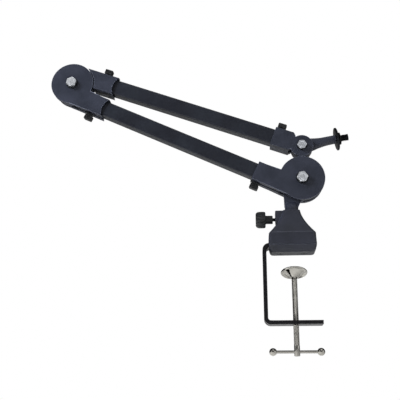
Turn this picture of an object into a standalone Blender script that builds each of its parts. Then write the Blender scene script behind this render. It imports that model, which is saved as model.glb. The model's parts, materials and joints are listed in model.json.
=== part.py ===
"""Folding two-arm boom stand with a desk clamp and a threaded holder stud.

Units: the constants are in millimetres and are turned into metres when meshes are made.
World frame: +Z up, +X to the right, front of the stand towards -Y. The origin is the point
where the clamp screw's axis meets the underside of the upper jaw.
"""
import math

import bmesh
import bpy
from mathutils import Matrix, Vector

MM = 0.001
GAP = 0.3                       # clearance kept between neighbouring pieces

# ---- driving dimensions -------------------------------------------------------------------
# pivots, (x, z) in the plane of the arms
BASE_PIVOT = (15.3, 101.0)
ELBOW_PIVOT = (-306.3, 252.0)
HEAD_PIVOT = (16.4, 146.8)
TUBE_SLOPE_UPPER = 20.465       # degrees that the upper tube falls towards the head
STUD_TILT = 9.0                 # degrees that the holder stud rises

# rectangular arm tubes
TUBE_HEIGHT = 22.0
TUBE_DEPTH = 15.0
TUBE_WALL = 1.2
TUBE_CORNER = 2.0
LOWER_OFFSET = 14.8             # tube centreline to the line of its pivots
UPPER_OFFSET = 15.8             # tube centreline to the elbow pivot

# end fittings
FITTING_HALF_DEPTH = 11.3
CHEEK_INNER = 5.1
TONGUE_HALF = 3.8
SLEEVE_HALF_HEIGHT = 13.3
SLEEVE_REACH = 62.0             # pivot to the sleeve's corners
SLEEVE_SCALLOP = 5.0            # depth of the hollow end edge
HUB_RADIUS = 30.3               # front cheek, the larger one
BASE_REAR_RADIUS = 29.2
ELBOW_REAR_RADIUS = 28.2
SLOT_RADIUS = 36.0
HEAD_HUB_RADIUS = 15.1
HEAD_HUB_REAR_RADIUS = 14.0
EDGE_BEVEL = 1.0

# fasteners of the three pivots
BOLT_RADIUS = 3.9
BOLT_FLATS = 13.0
HEAD_BOLT_RADIUS = 2.9
HEAD_BOLT_FLATS = 11.0

# clamp
STRAP_THICK = 5.0
STRAP_HALF_WIDTH = 12.5
STRAP_TOP_Z = 12.0
STRAP_LEFT_X = -40.4
STRAP_TOP_END_X = 20.0
STRAP_LOWER_END_X = 34.0
THROAT = 88.0
STRAP_INNER_BEND = 3.5
SCREW_RADIUS = 3.7
SCREW_BOTTOM_Z = -132.0
PAD_CENTRE_Z = -29.6             # centre of the ball end
PAD_RADIUS = 17.25
PAD_TILT = 17.0
TBAR_Z = -126.5
TBAR_RADIUS = 1.95
TBAR_BALL_X = 30.2
TBAR_BALL_RADIUS = 4.9

# socket block
BLOCK_X = -1.0
BLOCK_SEAM_Z = 9.5
BLOCK_SHOULDER_Z = 26.0
FLARE = 1.6                     # power of the curve between the neck and the shoulder
BLOCK_TOP_Z = 57.2
BLOCK_HALF_WIDTH = 31.3
BLOCK_HALF_DEPTH = 16.5
THUMB_Z = 46.3
POST_RADIUS = 7.0


# ---- small tools ----------------------------------------------------------------------------
def clear_scene():
    for obj in list(bpy.data.objects):
        bpy.data.objects.remove(obj)


def linear(value):
    """sRGB channel, 0 to 255, as a linear value."""
    v = value / 255.0
    return v / 12.92 if v <= 0.04045 else ((v + 0.055) / 1.055) ** 2.4


def material(name, rgb, roughness, metallic):
    found = bpy.data.materials.get(name)
    if found:
        return found
    mat = bpy.data.materials.new(name)
    mat.use_nodes = True
    shader = mat.node_tree.nodes["Principled BSDF"]
    shader.inputs["Base Color"].default_value = (*[linear(c) for c in rgb], 1.0)
    shader.inputs["Roughness"].default_value = roughness
    shader.inputs["Metallic"].default_value = metallic
    return mat


def plastic():
    return material("moulded_black", (62, 64, 74), 0.45, 0.0)


def arm_paint():
    return material("arm_paint", (42, 46, 56), 0.4, 0.3)


def strap_paint():
    return material("strap_paint", (22, 24, 27), 0.35, 0.4)


def zinc():
    return material("bright_zinc", (205, 208, 212), 0.3, 1.0)


def nickel():
    return material("nickel_plate", (168, 166, 160), 0.25, 1.0)


def black_steel():
    return material("black_steel", (34, 36, 39), 0.4, 0.6)


def nylon():
    return material("washer_nylon", (48, 49, 52), 0.5, 0.0)


def spring_steel():
    return material("spring_steel", (120, 122, 126), 0.35, 1.0)


def rubber():
    return material("soft_rubber", (28, 28, 30), 0.8, 0.0)


def axis_empty(name, x, z, turn_degrees=0.0, parent=None, axis="Y"):
    """An empty on a joint's axis; the pieces that turn about it are its children."""
    empty = bpy.data.objects.new(name, None)
    bpy.context.collection.objects.link(empty)
    world = Matrix.Translation((x * MM, 0.0, z * MM)) @ Matrix.Rotation(
        math.radians(turn_degrees), 4, axis)
    empty.parent = parent
    empty.matrix_basis = parent_inverse(parent) @ world
    return empty


def parent_inverse(parent):
    """World to parent space, for parents that are empties placed by axis_empty."""
    chain = Matrix.Identity(4)
    while parent is not None:
        chain = parent.matrix_basis @ chain
        parent = parent.parent
    return chain.inverted()


def add_object(name, bm, mat, parent=None, sharp_angle=35.0):
    bmesh.ops.recalc_face_normals(bm, faces=bm.faces)
    bmesh.ops.scale(bm, vec=(MM, MM, MM), verts=bm.verts)
    mesh = bpy.data.meshes.new(name)
    bm.to_mesh(mesh)
    bm.free()
    mesh.shade_smooth()
    mesh.set_sharp_from_angle(angle=math.radians(sharp_angle))
    mesh.materials.append(mat)
    obj = bpy.data.objects.new(name, mesh)
    bpy.context.collection.objects.link(obj)
    obj.parent = parent
    return obj


def boolean(obj, bm, operation="DIFFERENCE"):
    """Cut bm out of obj, or join it on, with a hidden wire-drawn helper object."""
    helper = add_object(f"{obj.name}_helper", bm, obj.data.materials[0], obj.parent)
    helper.hide_render = True
    helper.display_type = "WIRE"
    modifier = obj.modifiers.new(operation.title(), "BOOLEAN")
    modifier.operation = operation
    modifier.object = helper
    modifier.solver = "EXACT"


def cut(obj, bm):
    boolean(obj, bm, "DIFFERENCE")


def join(obj, bm):
    boolean(obj, bm, "UNION")


def loft(rings, loop=False):
    """A closed skin through rings of equally many points; loop joins the last ring to the first."""
    bm = bmesh.new()
    made = [[bm.verts.new(p) for p in ring] for ring in rings]
    count = len(rings[0])
    pairs = list(zip(made, made[1:]))
    if loop:
        pairs.append((made[-1], made[0]))
    for low, high in pairs:
        for i in range(count):
            j = (i + 1) % count
            bm.faces.new((low[i], low[j], high[j], high[i]))
    if not loop:
        bm.faces.new(made[0][::-1])
        bm.faces.new(made[-1])
    return bm


def onto_axis(bm, axis):
    """Turn a shape built along Z so that it lies along X or Y instead."""
    if axis == "X":
        bmesh.ops.rotate(bm, verts=bm.verts, matrix=Matrix.Rotation(math.pi / 2, 3, "Y"))
    if axis == "Y":
        bmesh.ops.rotate(bm, verts=bm.verts, matrix=Matrix.Rotation(-math.pi / 2, 3, "X"))
    return bm


def move(bm, x=0.0, y=0.0, z=0.0):
    bmesh.ops.translate(bm, verts=bm.verts, vec=(x, y, z))
    return bm


def hex_radius(flats, angle):
    """Distance from the centre to a hexagon's side in a direction, in radians."""
    sixth = math.pi / 3
    inside = (angle + sixth / 2) % sixth - sixth / 2
    return flats / 2 / math.cos(inside)


def ring_points(radius, height, segments, flats=None):
    points = []
    for i in range(segments):
        angle = 2 * math.pi * i / segments
        r = radius if flats is None else min(radius, hex_radius(flats, angle))
        points.append((r * math.cos(angle), r * math.sin(angle), height))
    return points


def turned(profile, segments=24, axis="Z", hollow=False):
    """A lathe shape. profile: (radius, height) or (radius, height, flats) from end to end."""
    rings = [ring_points(p[0], p[1], segments, p[2] if len(p) > 2 else None) for p in profile]
    return onto_axis(loft(rings, loop=hollow), axis)


def rod(radius, low, high, axis="Z", segments=24):
    return turned([(radius, low), (radius, high)], segments, axis)


def tube_ring(inner, outer, low, high, axis="Z", segments=24):
    profile = [(inner, low), (outer, low), (outer, high), (inner, high)]
    return turned(profile, segments, axis, hollow=True)


def box(x0, x1, y0, y1, z0, z1):
    corners = [(x0, y0), (x1, y0), (x1, y1), (x0, y1)]
    return loft([[(x, y, z) for x, y in corners] for z in (z0, z1)])


def prism(outline, y0, y1, bevel=0.0, bevel_side=0):
    """An (x, z) outline carried along Y; bevel rounds the edges of the face at y0 or y1."""
    bm = loft([[(x, y, z) for x, z in outline] for y in (y0, y1)])
    if bevel:
        at = (y0, y1)[bevel_side]
        edges = [e for e in bm.edges if all(abs(v.co.y - at) < 1e-6 for v in e.verts)]
        bmesh.ops.bevel(bm, geom=edges, offset=bevel, segments=2, profile=0.5,
                        affect="EDGES", clamp_overlap=True)
    return bm


def arc(cx, cz, radius, start, stop, steps):
    """Points on a circle from start to stop, in degrees, both ends included."""
    points = []
    for i in range(steps + 1):
        a = math.radians(start + (stop - start) * i / steps)
        points.append((cx + radius * math.cos(a), cz + radius * math.sin(a)))
    return points


def rounded_rectangle(half_x, half_y, corner, steps=3, cx=0.0, cy=0.0):
    points = []
    for quarter, (sx, sy) in enumerate(((1, 1), (-1, 1), (-1, -1), (1, -1))):
        start = 90 * quarter
        points += arc(cx + sx * (half_x - corner), cy + sy * (half_y - corner),
                      corner, start, start + 90, steps)
    return points


# ---- pivot frames ---------------------------------------------------------------------------
def arm_direction(start, end):
    """Length and angle, in degrees, of the line between two pivots."""
    dx, dz = end[0] - start[0], end[1] - start[1]
    return math.hypot(dx, dz), math.degrees(math.atan2(dz, dx))


LOWER_LENGTH, LOWER_ANGLE = arm_direction(BASE_PIVOT, ELBOW_PIVOT)


def upper_frame_head():
    """The head pivot in the upper arm's own frame: x along the tube, z across it."""
    length, angle = arm_direction(ELBOW_PIVOT, HEAD_PIVOT)
    inside = math.radians(angle + TUBE_SLOPE_UPPER)
    return length * math.cos(inside), length * math.sin(inside)


HEAD_X, HEAD_Z = upper_frame_head()


# ---- clamp ----------------------------------------------------------------------------------
def strap_outline():
    """The C of the strap seen from the front, as one closed (x, z) outline."""
    inner = STRAP_INNER_BEND
    outer = inner + STRAP_THICK
    top, under = STRAP_TOP_Z, STRAP_TOP_Z - STRAP_THICK
    floor = -THROAT
    sole = floor - STRAP_THICK
    left, wall = STRAP_LEFT_X, STRAP_LEFT_X + STRAP_THICK
    steps = 6
    points = [(STRAP_TOP_END_X, under), (STRAP_TOP_END_X, top)]
    points += arc(left + outer, top - outer, outer, 90, 180, steps)
    points += arc(left + outer, sole + outer, outer, 180, 270, steps)
    points += [(STRAP_LOWER_END_X, sole), (STRAP_LOWER_END_X, floor)]
    points += arc(wall + inner, floor + inner, inner, 270, 180, steps)
    points += arc(wall + inner, under - inner, inner, 180, 90, steps)
    return points


JAW_SCREW_XS = (-17.0, 14.0)


def build_strap():
    strap = add_object("clamp_strap", prism(strap_outline(), -STRAP_HALF_WIDTH, STRAP_HALF_WIDTH),
                       strap_paint())
    cut(strap, rod(SCREW_RADIUS + 0.4, -THROAT - 10, -THROAT + 5))
    for x in JAW_SCREW_XS:
        cut(strap, move(rod(2.4, 0, 20, segments=16), x))


def block_section(half_width, half_depth, corner, z):
    return [(x, y, z) for x, y in rounded_rectangle(half_width, half_depth, corner, cx=BLOCK_X)]


def flare_half_width(z):
    """The block's sides spread in a curve from the neck to the shoulder."""
    drop = (BLOCK_TOP_Z - z) / (BLOCK_TOP_Z - BLOCK_SHOULDER_Z)
    return 11.5 + (BLOCK_HALF_WIDTH - 1.2 - 11.5) * drop ** FLARE


def flare_half_depth(z):
    drop = (BLOCK_TOP_Z - z) / (BLOCK_TOP_Z - BLOCK_SHOULDER_Z)
    return 11.5 + (BLOCK_HALF_DEPTH - 0.8 - 11.5) * drop ** FLARE


def strap_pocket():
    """The space that the two block shells leave round the strap's upper leg."""
    reach = STRAP_HALF_WIDTH + GAP
    return box(-60, STRAP_TOP_END_X + GAP, -reach, reach,
               STRAP_TOP_Z - STRAP_THICK - GAP, STRAP_TOP_Z + GAP)


def build_socket_block():
    corner = 4.0
    rings = [block_section(BLOCK_HALF_WIDTH - 0.4, BLOCK_HALF_DEPTH - 0.4, corner, BLOCK_SEAM_Z + 0.2),
             block_section(BLOCK_HALF_WIDTH, BLOCK_HALF_DEPTH, corner, BLOCK_SEAM_Z + 0.8),
             block_section(BLOCK_HALF_WIDTH - 0.7, BLOCK_HALF_DEPTH - 0.5, corner, 24.6),
             block_section(BLOCK_HALF_WIDTH - 1.3, BLOCK_HALF_DEPTH - 1.0, corner, 26.3)]
    levels = 8
    low, high = BLOCK_SHOULDER_Z + 1.2, BLOCK_TOP_Z - 0.8
    for i in range(levels + 1):
        z = low + (high - low) * i / levels
        rings.append(block_section(flare_half_width(z), flare_half_depth(z), corner, z))
    rings.append(block_section(10.7, 10.7, corner - 0.8, BLOCK_TOP_Z))
    block = add_object("socket_block", loft(rings), plastic())
    boss = [(y, z) for y, z in rounded_rectangle(8.3, 8.3, 1.5, cy=BLOCK_TOP_Z - 8.35)]
    join(block, loft([[(x, y, z) for y, z in boss] for x in (-22.3, -6.0)]))
    cut(block, strap_pocket())
    cut(block, rod(8.8, 16.0, 70.0, segments=28))
    cut(block, move(rod(2.8, -40, -3, "X", 16), z=THUMB_Z))
    for x in JAW_SCREW_XS:
        cut(block, move(rod(2.4, 5, 21, segments=16), x))


def build_jaw_shell():
    corner = 4.0
    rings = [block_section(BLOCK_HALF_WIDTH - 4.6, BLOCK_HALF_DEPTH - 4.3, corner - 1.6, 0.0),
             block_section(BLOCK_HALF_WIDTH - 2.8, BLOCK_HALF_DEPTH - 2.8, corner - 0.6, 0.9),
             block_section(BLOCK_HALF_WIDTH - 1.7, BLOCK_HALF_DEPTH - 1.7, corner, 2.8),
             block_section(BLOCK_HALF_WIDTH - 0.1, BLOCK_HALF_DEPTH - 0.1, corner, BLOCK_SEAM_Z - 0.8),
             block_section(BLOCK_HALF_WIDTH - 0.5, BLOCK_HALF_DEPTH - 0.5, corner, BLOCK_SEAM_Z - 0.2)]
    jaw = add_object("jaw_shell", loft(rings), plastic())
    cut(jaw, strap_pocket())
    for x in JAW_SCREW_XS:
        cut(jaw, move(turned([(4.6, -5), (4.6, 3.4), (2.4, 3.41), (2.4, 20)], 20), x))


def build_jaw_screws():
    for side, x in zip(("left", "right"), JAW_SCREW_XS):
        profile = [(4.2, 0.9), (4.2, 3.1), (1.95, 3.1), (1.95, 18.0), (1.4, 18.6)]
        screw = move(turned(profile, 20), x)
        add_object(f"jaw_screw_{side}", screw, black_steel())


def build_socket_liner():
    liner = add_object("socket_liner", tube_ring(POST_RADIUS + 0.35, 8.5, 16.3, BLOCK_TOP_Z - 0.6),
                       nylon())
    cut(liner, move(rod(2.7, -20, -3, "X", 16), z=THUMB_Z))


# ---- clamp screw, pad and tommy bar -----------------------------------------------------------
BALL_RADIUS = 3.4
BALL_NECK = 2.2
BALL_STUB = 1.5


def build_pad_clip():
    """The clip on the stub above the ball. It rises and falls with the screw but doesn't turn."""
    inner, outer, low, high = BALL_STUB + GAP, 3.4, 3.5, 4.3
    clip = tube_ring(inner, outer, PAD_CENTRE_Z + low, PAD_CENTRE_Z + high, segments=20)
    add_object("pad_clip", clip, nickel())


def build_pad(frame):
    """A stamped dish with a rolled rim and a collar that closes round the screw's ball end."""
    bore, rim = BALL_RADIUS + 0.35, PAD_RADIUS
    under = [(bore, -3.3), (4.6, -3.3), (4.6, 0.2), (5.8, 0.9), (9.0, 2.1), (12.0, 3.8), (13.0, 4.3),
             (14.4, 4.3), (15.3, 3.7), (16.6, 3.7), (rim, 4.4)]
    over = [(rim, 5.1), (16.6, 5.7), (12.6, 5.4), (8.6, 3.2), (5.4, 1.9), (bore, 1.4)]
    pad = turned(under + over, 32, hollow=True)
    add_object("swivel_pad", pad, nickel(), frame, sharp_angle=50)


def build_clamp_screw():
    """Stub, ball, neck and shank, from the top down."""
    ball, centre = BALL_RADIUS, PAD_CENTRE_Z
    profile = [(BALL_STUB - 0.4, centre + 5.0), (BALL_STUB, centre + 4.7), (BALL_STUB, centre + 3.05)]
    for angle in (57, 32, 8, -16, -36):
        a = math.radians(angle)
        profile.append((ball * math.cos(a), centre + ball * math.sin(a)))
    shank_top = centre - 4.4
    profile += [(BALL_NECK, centre - 2.7), (BALL_NECK, shank_top), (SCREW_RADIUS - 0.4, shank_top - 0.01),
                (SCREW_RADIUS, shank_top - 0.5), (SCREW_RADIUS, SCREW_BOTTOM_Z + 0.8),
                (SCREW_RADIUS - 0.8, SCREW_BOTTOM_Z)]
    screw = add_object("clamp_screw", turned(profile, 24), nickel())
    cut(screw, move(rod(TBAR_RADIUS + 0.35, -10, 10, "X", 16), z=TBAR_Z))


def build_tommy_bar():
    add_object("t_bar", move(rod(TBAR_RADIUS, -28.2, 28.2, "X", 16), z=TBAR_Z), nickel())
    bore, bottom, steps = TBAR_RADIUS + GAP, -1.4, 8
    mouth = -math.sqrt(TBAR_BALL_RADIUS ** 2 - bore ** 2)
    first = math.degrees(math.atan2(bore, -mouth))
    profile = [(bore, bottom)]
    for i in range(steps):
        angle = math.radians(180 - first - (172 - 2 * first) * i / (steps - 1))
        profile.append((TBAR_BALL_RADIUS * math.sin(angle), TBAR_BALL_RADIUS * math.cos(angle)))
    for side, sign in (("left", -1), ("right", 1)):
        ball = turned([(r, sign * x) for r, x in profile], 20, "X")
        add_object(f"t_bar_ball_{side}", move(ball, sign * TBAR_BALL_X, z=TBAR_Z), nickel())


# ---- thumbscrew ---------------------------------------------------------------------------
def lobed_ring(radius, depth, lobes, x, steps=2):
    """A scalloped grip section round the X axis."""
    points = []
    count = lobes * steps * 2
    for i in range(count):
        angle = 2 * math.pi * i / count
        r = radius - depth * (0.5 - 0.5 * math.cos(lobes * angle))
        points.append((x, r * math.cos(angle), THUMB_Z + r * math.sin(angle)))
    return points


def build_thumbscrew():
    lobes = 12
    rings = [lobed_ring(6.0, 0.0, lobes, -48.4), lobed_ring(9.0, 0.3, lobes, -47.6),
             lobed_ring(10.6, 0.7, lobes, -45.6), lobed_ring(11.1, 0.8, lobes, -42.0),
             lobed_ring(10.9, 0.8, lobes, -36.4), lobed_ring(10.2, 0.6, lobes, -35.4),
             lobed_ring(5.9, 0.0, lobes, -35.3), lobed_ring(5.6, 0.0, lobes, -34.4),
             lobed_ring(5.6, 0.0, lobes, -26.4), lobed_ring(5.0, 0.0, lobes, -25.8)]
    knob = add_object("thumbscrew_knob", loft(rings), black_plastic())
    cut(knob, move(rod(2.65, -44, -20, "X", 16), z=THUMB_Z))
    add_object("thumbscrew_shank", move(rod(2.35, -43, -10.4, "X", 16), z=THUMB_Z), black_steel())
    tip = turned([(2.3, -10.0), (2.3, -8.2), (1.7, -7.35)], 16, "X")
    add_object("thumbscrew_tip", move(tip, z=THUMB_Z), nylon())


def black_plastic():
    return material("knob_plastic", (30, 32, 33), 0.5, 0.0)


# ---- pivot post -----------------------------------------------------------------------------
def ellipse_ring(half_x, half_y, z, segments=28, cx=0.0):
    points = []
    for i in range(segments):
        a = 2 * math.pi * i / segments
        points.append((cx + half_x * math.cos(a), half_y * math.sin(a), z))
    return points


LUG_RADIUS = 26.0
NECK_HALF_WIDTH = 9.4
NECK_COLLAR_Z = BLOCK_TOP_Z + GAP


def lug_outline(root_z):
    """A disc about the base pivot, drawn in to the neck by its two tangent sides."""
    x, z = BASE_PIVOT
    left = arc(x, z, LUG_RADIUS, -78, 184, 36)
    return left + [(-NECK_HALF_WIDTH, root_z + 4), (-NECK_HALF_WIDTH + 0.8, root_z),
                   (NECK_HALF_WIDTH - 0.8, root_z), (NECK_HALF_WIDTH, root_z + 4),
                   (NECK_HALF_WIDTH + 2.6, root_z + 9)]


def build_pivot_post():
    post = [(POST_RADIUS - 0.8, 17.0), (POST_RADIUS, 17.8), (POST_RADIUS, NECK_COLLAR_Z)]
    rings = [ellipse_ring(r, r, z) for r, z in post]
    rings += [ellipse_ring(8.8, 8.8, NECK_COLLAR_Z + 0.02), ellipse_ring(8.9, 8.9, 61.5),
              ellipse_ring(9.1, 8.0, 65.0), ellipse_ring(9.3, 5.6, 68.0), ellipse_ring(9.0, 3.2, 70.5)]
    body = add_object("pivot_post", loft(rings), plastic())
    join(body, prism(lug_outline(60.5), -TONGUE_HALF, TONGUE_HALF))
    cut(body, pivot_bore(BASE_PIVOT, BOLT_RADIUS))


def pivot_bore(pivot, bolt_radius):
    return move(rod(bolt_radius + GAP, -30, 30, "Y", 20), pivot[0], 0, pivot[1])


# ---- fittings on the tube ends ------------------------------------------------------------------
def scallop(reach, low, high, steps=8):
    """The hollow end edge of an elbow sleeve, from its lower corner to its upper one."""
    half = (high - low) / 2
    radius = (half ** 2 + SLEEVE_SCALLOP ** 2) / (2 * SLEEVE_SCALLOP)
    spread = math.degrees(math.asin(half / radius))
    return arc(reach - SLEEVE_SCALLOP + radius, (low + high) / 2, radius,
               180 + spread, 180 - spread, steps)


def hub_outline(radius, low, high, end_points, steps=44):
    """A disc about the pivot merged with the sleeve that leaves it between low and high."""
    upper = math.degrees(math.asin(high / radius))
    lower = math.degrees(math.asin(low / radius))
    return arc(0, 0, radius, upper, 360 + lower, steps) + end_points


def place_end(bm, x0, direction):
    """Move a fitting built from its pivot at x = 0 to its own end of the arm."""
    if direction < 0:
        bmesh.ops.scale(bm, vec=(-1, 1, 1), verts=bm.verts)
        bmesh.ops.reverse_faces(bm, faces=bm.faces)
    return move(bm, x0)


def sided(low, high, side):
    """A y range given for the rear half, mirrored for the front one."""
    return (low, high) if side > 0 else (-high, -low)


def tube_room(offset, start, side_low, side_high, margin):
    half = TUBE_HEIGHT / 2 + margin
    return box(start, SLEEVE_REACH + 20, side_low, side_high, offset - half, offset + half)


def sleeve_cuts(offset, start, side):
    """The room for the tube, the wider mouth and the slit along the sleeve's outer edge."""
    depth = TUBE_DEPTH / 2
    high = offset + SLEEVE_HALF_HEIGHT
    yield tube_room(offset, start, *sided(-1, depth + GAP, side), GAP)
    yield tube_room(offset, SLEEVE_REACH - 10, *sided(-1, depth + 1.2, side), 0.9)
    yield box(-60, SLEEVE_REACH + 20, *sided(-1, 3.0, side), high - 3.1, high + 5)


def build_fork_half(name, parent, x0, direction, side):
    """One cheek of a lower arm fork, with its half of the sleeve; the base sleeve ends straight."""
    low = LOWER_OFFSET - SLEEVE_HALF_HEIGHT
    high = LOWER_OFFSET + SLEEVE_HALF_HEIGHT
    end = scallop(SLEEVE_REACH, low, high)
    if direction > 0:
        end = [(SLEEVE_REACH, low), (SLEEVE_REACH, high)]
    rear = BASE_REAR_RADIUS if direction > 0 else ELBOW_REAR_RADIUS
    outline = hub_outline(HUB_RADIUS if side < 0 else rear, low, high, end)
    y0, y1 = sided(0.2, FITTING_HALF_DEPTH, side)
    outer = 1 if side > 0 else 0
    body = place_end(prism(outline, y0, y1, EDGE_BEVEL, outer), x0, direction)
    obj = add_object(name, body, plastic(), parent)
    slot = rod(SLOT_RADIUS, *sided(-1, CHEEK_INNER, side), "Y", 40)
    cut(obj, place_end(slot, x0, direction))
    for cutter in sleeve_cuts(LOWER_OFFSET, 30.0, side):
        cut(obj, place_end(cutter, x0, direction))
    cut(obj, place_end(rod(BOLT_RADIUS + GAP, -30, 30, "Y", 20), x0, direction))


def tongue_sleeve_outline(low, high):
    """The upper arm's elbow sleeve: it starts on a circle just clear of the fork's disc."""
    clear = HUB_RADIUS + 1.6
    top = math.degrees(math.asin(high / clear))
    bottom = math.degrees(math.asin(low / clear))
    return arc(0, 0, clear, top, bottom, 12) + scallop(SLEEVE_REACH, low, high)


def build_tongue_half(name, parent, side):
    """Half of the upper arm's elbow fitting: a sleeve and half of the tongue."""
    low = UPPER_OFFSET - SLEEVE_HALF_HEIGHT
    high = UPPER_OFFSET + SLEEVE_HALF_HEIGHT
    y0, y1 = sided(0.2, FITTING_HALF_DEPTH, side)
    outer = 1 if side > 0 else 0
    body = prism(tongue_sleeve_outline(low, high), y0, y1, EDGE_BEVEL, outer)
    obj = add_object(name, body, plastic(), parent)
    root = [(40.0, low + 1.4), (40.0, high - 1.4)]
    plate = hub_outline(HUB_RADIUS - 1.5, low + 1.4, high - 1.4, root)
    join(obj, prism(plate, *sided(0.2, TONGUE_HALF, side)))
    for cutter in sleeve_cuts(UPPER_OFFSET, 38.0, side):
        cut(obj, cutter)
    cut(obj, rod(BOLT_RADIUS + GAP, -30, 30, "Y", 20))


HEAD_SLEEVE_REACH = 41.5
HEAD_SLEEVE_START = 12.5
HEAD_CHAMFER = 3.6
HEAD_SLOT_RADIUS = 19.0


def head_outline(offset, radius):
    """A disc that runs into the head sleeve; x points away from the disc, along the sleeve."""
    low = offset - SLEEVE_HALF_HEIGHT
    high = offset + SLEEVE_HALF_HEIGHT
    start = HEAD_SLEEVE_START
    meet = math.sqrt(radius ** 2 - start ** 2)
    angle = math.degrees(math.asin(meet / radius))
    outline = arc(0, 0, radius, angle, 360 - angle, 32)
    if low + HEAD_CHAMFER < -meet - 1.0:
        outline.append((start, low + HEAD_CHAMFER))
    outline += [(start + HEAD_CHAMFER, low), (HEAD_SLEEVE_REACH, low),
                (HEAD_SLEEVE_REACH, high), (start + HEAD_CHAMFER, high), (start, high - HEAD_CHAMFER)]
    return outline


def build_head_half(name, parent, side):
    """Half of the head fitting: a short sleeve and one cheek of the head fork."""
    offset = UPPER_OFFSET - HEAD_Z
    y0, y1 = sided(0.2, FITTING_HALF_DEPTH, side)
    outer = 1 if side > 0 else 0
    radius = HEAD_HUB_RADIUS if side < 0 else HEAD_HUB_REAR_RADIUS
    body = prism(head_outline(offset, radius), y0, y1, EDGE_BEVEL * 0.8, outer)
    obj = add_object(name, set_head(body), plastic(), parent)
    cut(obj, set_head(rod(HEAD_SLOT_RADIUS, *sided(-1, CHEEK_INNER, side), "Y", 32)))
    room = tube_room(offset, 15.0, *sided(-1, TUBE_DEPTH / 2 + GAP, side), GAP)
    cut(obj, set_head(room))
    cut(obj, set_head(rod(HEAD_BOLT_RADIUS + GAP, -30, 30, "Y", 20)))


def set_head(bm):
    """Move a shape drawn from the head pivot, x towards the elbow, into the upper arm's frame."""
    return move(place_end(bm, HEAD_X, -1), z=HEAD_Z)


# ---- tubes and springs --------------------------------------------------------------------------
def tube_mesh(start, end, offset):
    rings = []
    outer = rounded_rectangle(TUBE_DEPTH / 2, TUBE_HEIGHT / 2, TUBE_CORNER)
    inner = rounded_rectangle(TUBE_DEPTH / 2 - TUBE_WALL, TUBE_HEIGHT / 2 - TUBE_WALL,
                              TUBE_CORNER - TUBE_WALL)
    for section, x in ((inner, start), (outer, start), (outer, end), (inner, end)):
        rings.append([(x, y, offset + z) for y, z in section])
    return loft(rings, loop=True)


def build_spring_set(arm, parent, link_end, spring_start, spring_end, offset):
    """The balance spring, the flat link that pulls it and the plug that it hangs from."""
    radius, wire = 4.2, 1.1
    coil = tube_ring(radius - wire, radius, spring_start, spring_end, "X", 20)
    add_object(f"{arm}_spring", move(coil, z=offset), spring_steel(), parent)
    link = box(link_end, spring_start - GAP, -0.8, 0.8, offset - 3, offset + 3)
    add_object(f"{arm}_spring_link", link, spring_steel(), parent)
    half_y = TUBE_DEPTH / 2 - TUBE_WALL - GAP
    half_z = TUBE_HEIGHT / 2 - TUBE_WALL - GAP
    plug = box(spring_end + GAP, spring_end + 12, -half_y, half_y, offset - half_z, offset + half_z)
    add_object(f"{arm}_spring_plug", plug, black_steel(), parent)


# ---- pivot fasteners ------------------------------------------------------------------------------
def build_bolt(name, parent, x, z, radius, flats):
    head = [(flats * 0.44, -17.8), (flats, -17.1, flats), (flats, -13.1, flats)]
    shank = [(radius, -13.09), (radius, 18.8), (radius - 0.7, 19.6)]
    bolt = turned(head + shank, 24, "Y")
    add_object(name, move(bolt, x, 0, z), zinc(), parent)


def build_bolt_washer(name, parent, x, z, radius, outer):
    washer = tube_ring(radius + GAP, outer, -12.8, -11.6, "Y")
    add_object(name, move(washer, x, 0, z), black_steel(), parent)


def build_nut(name, parent, x, z, radius, flats):
    inner = radius + GAP
    profile = [(inner, 11.6), (flats, 11.6, flats), (flats, 16.4, flats), (flats * 0.46, 17.1),
               (flats * 0.4, 18.0), (inner, 18.0)]
    nut = turned(profile, 24, "Y", hollow=True)
    add_object(name, move(nut, x, 0, z), zinc(), parent)


def build_friction_washers(prefix, parent, x, z, radius, outer):
    for side, sign in (("front", -1), ("rear", 1)):
        y0, y1 = sided(TONGUE_HALF + GAP, CHEEK_INNER - GAP, sign)
        washer = tube_ring(radius + GAP, outer, y0, y1, "Y")
        add_object(f"{prefix}_washer_{side}", move(washer, x, 0, z), nylon(), parent)


def build_pivot_hardware(prefix, parent, x, z, radius, flats, washer_outer, friction_outer):
    build_bolt(f"{prefix}_bolt", parent, x, z, radius, flats)
    build_bolt_washer(f"{prefix}_bolt_washer", parent, x, z, radius, washer_outer)
    build_nut(f"{prefix}_nut", parent, x, z, radius, flats)
    build_friction_washers(prefix, parent, x, z, radius, friction_outer)


# ---- cable clips ------------------------------------------------------------------------------------
def build_clip(name, parent, x, surface, way):
    """A ribbed snap block on a short neck; way is +1 above the surface and -1 below it."""
    ribs, pitch, groove, half_y = 4, 2.9, 0.8, 4.2
    length = ribs * pitch
    section = []
    for i in range(ribs):
        a = -length / 2 + i * pitch
        section += [(a, -half_y + groove), (a + 0.5, -half_y), (a + pitch - 0.9, -half_y),
                    (a + pitch - 0.4, -half_y + groove)]
    section += [(length / 2, half_y - 0.8), (length / 2 - 0.8, half_y), (-length / 2 + 0.8, half_y),
                (-length / 2, half_y - 0.8)]
    z0, z1 = surface + way * 4.0, surface + way * 10.4
    block = loft([[(x + a, b, z) for a, b in section] for z in (min(z0, z1), max(z0, z1))])
    clip = add_object(name, block, black_plastic(), parent)
    foot = sorted((surface + way * GAP, surface + way * 2.0))
    join(clip, box(x - 6.2, x + 7.4, -3.6, 3.6, *foot))
    neck = sorted((surface + way * 1.2, surface + way * 5.0))
    join(clip, box(x - 4.2, x + 4.2, -2.4, 2.4, *neck))


# ---- head ---------------------------------------------------------------------------------------------
STUD_ORIGIN = (46.4, 11.7)      # centre of the stem's end face, from the head pivot
STUD_RADIUS = 4.6
HEAD_LUG_RADIUS = 15.0


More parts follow.
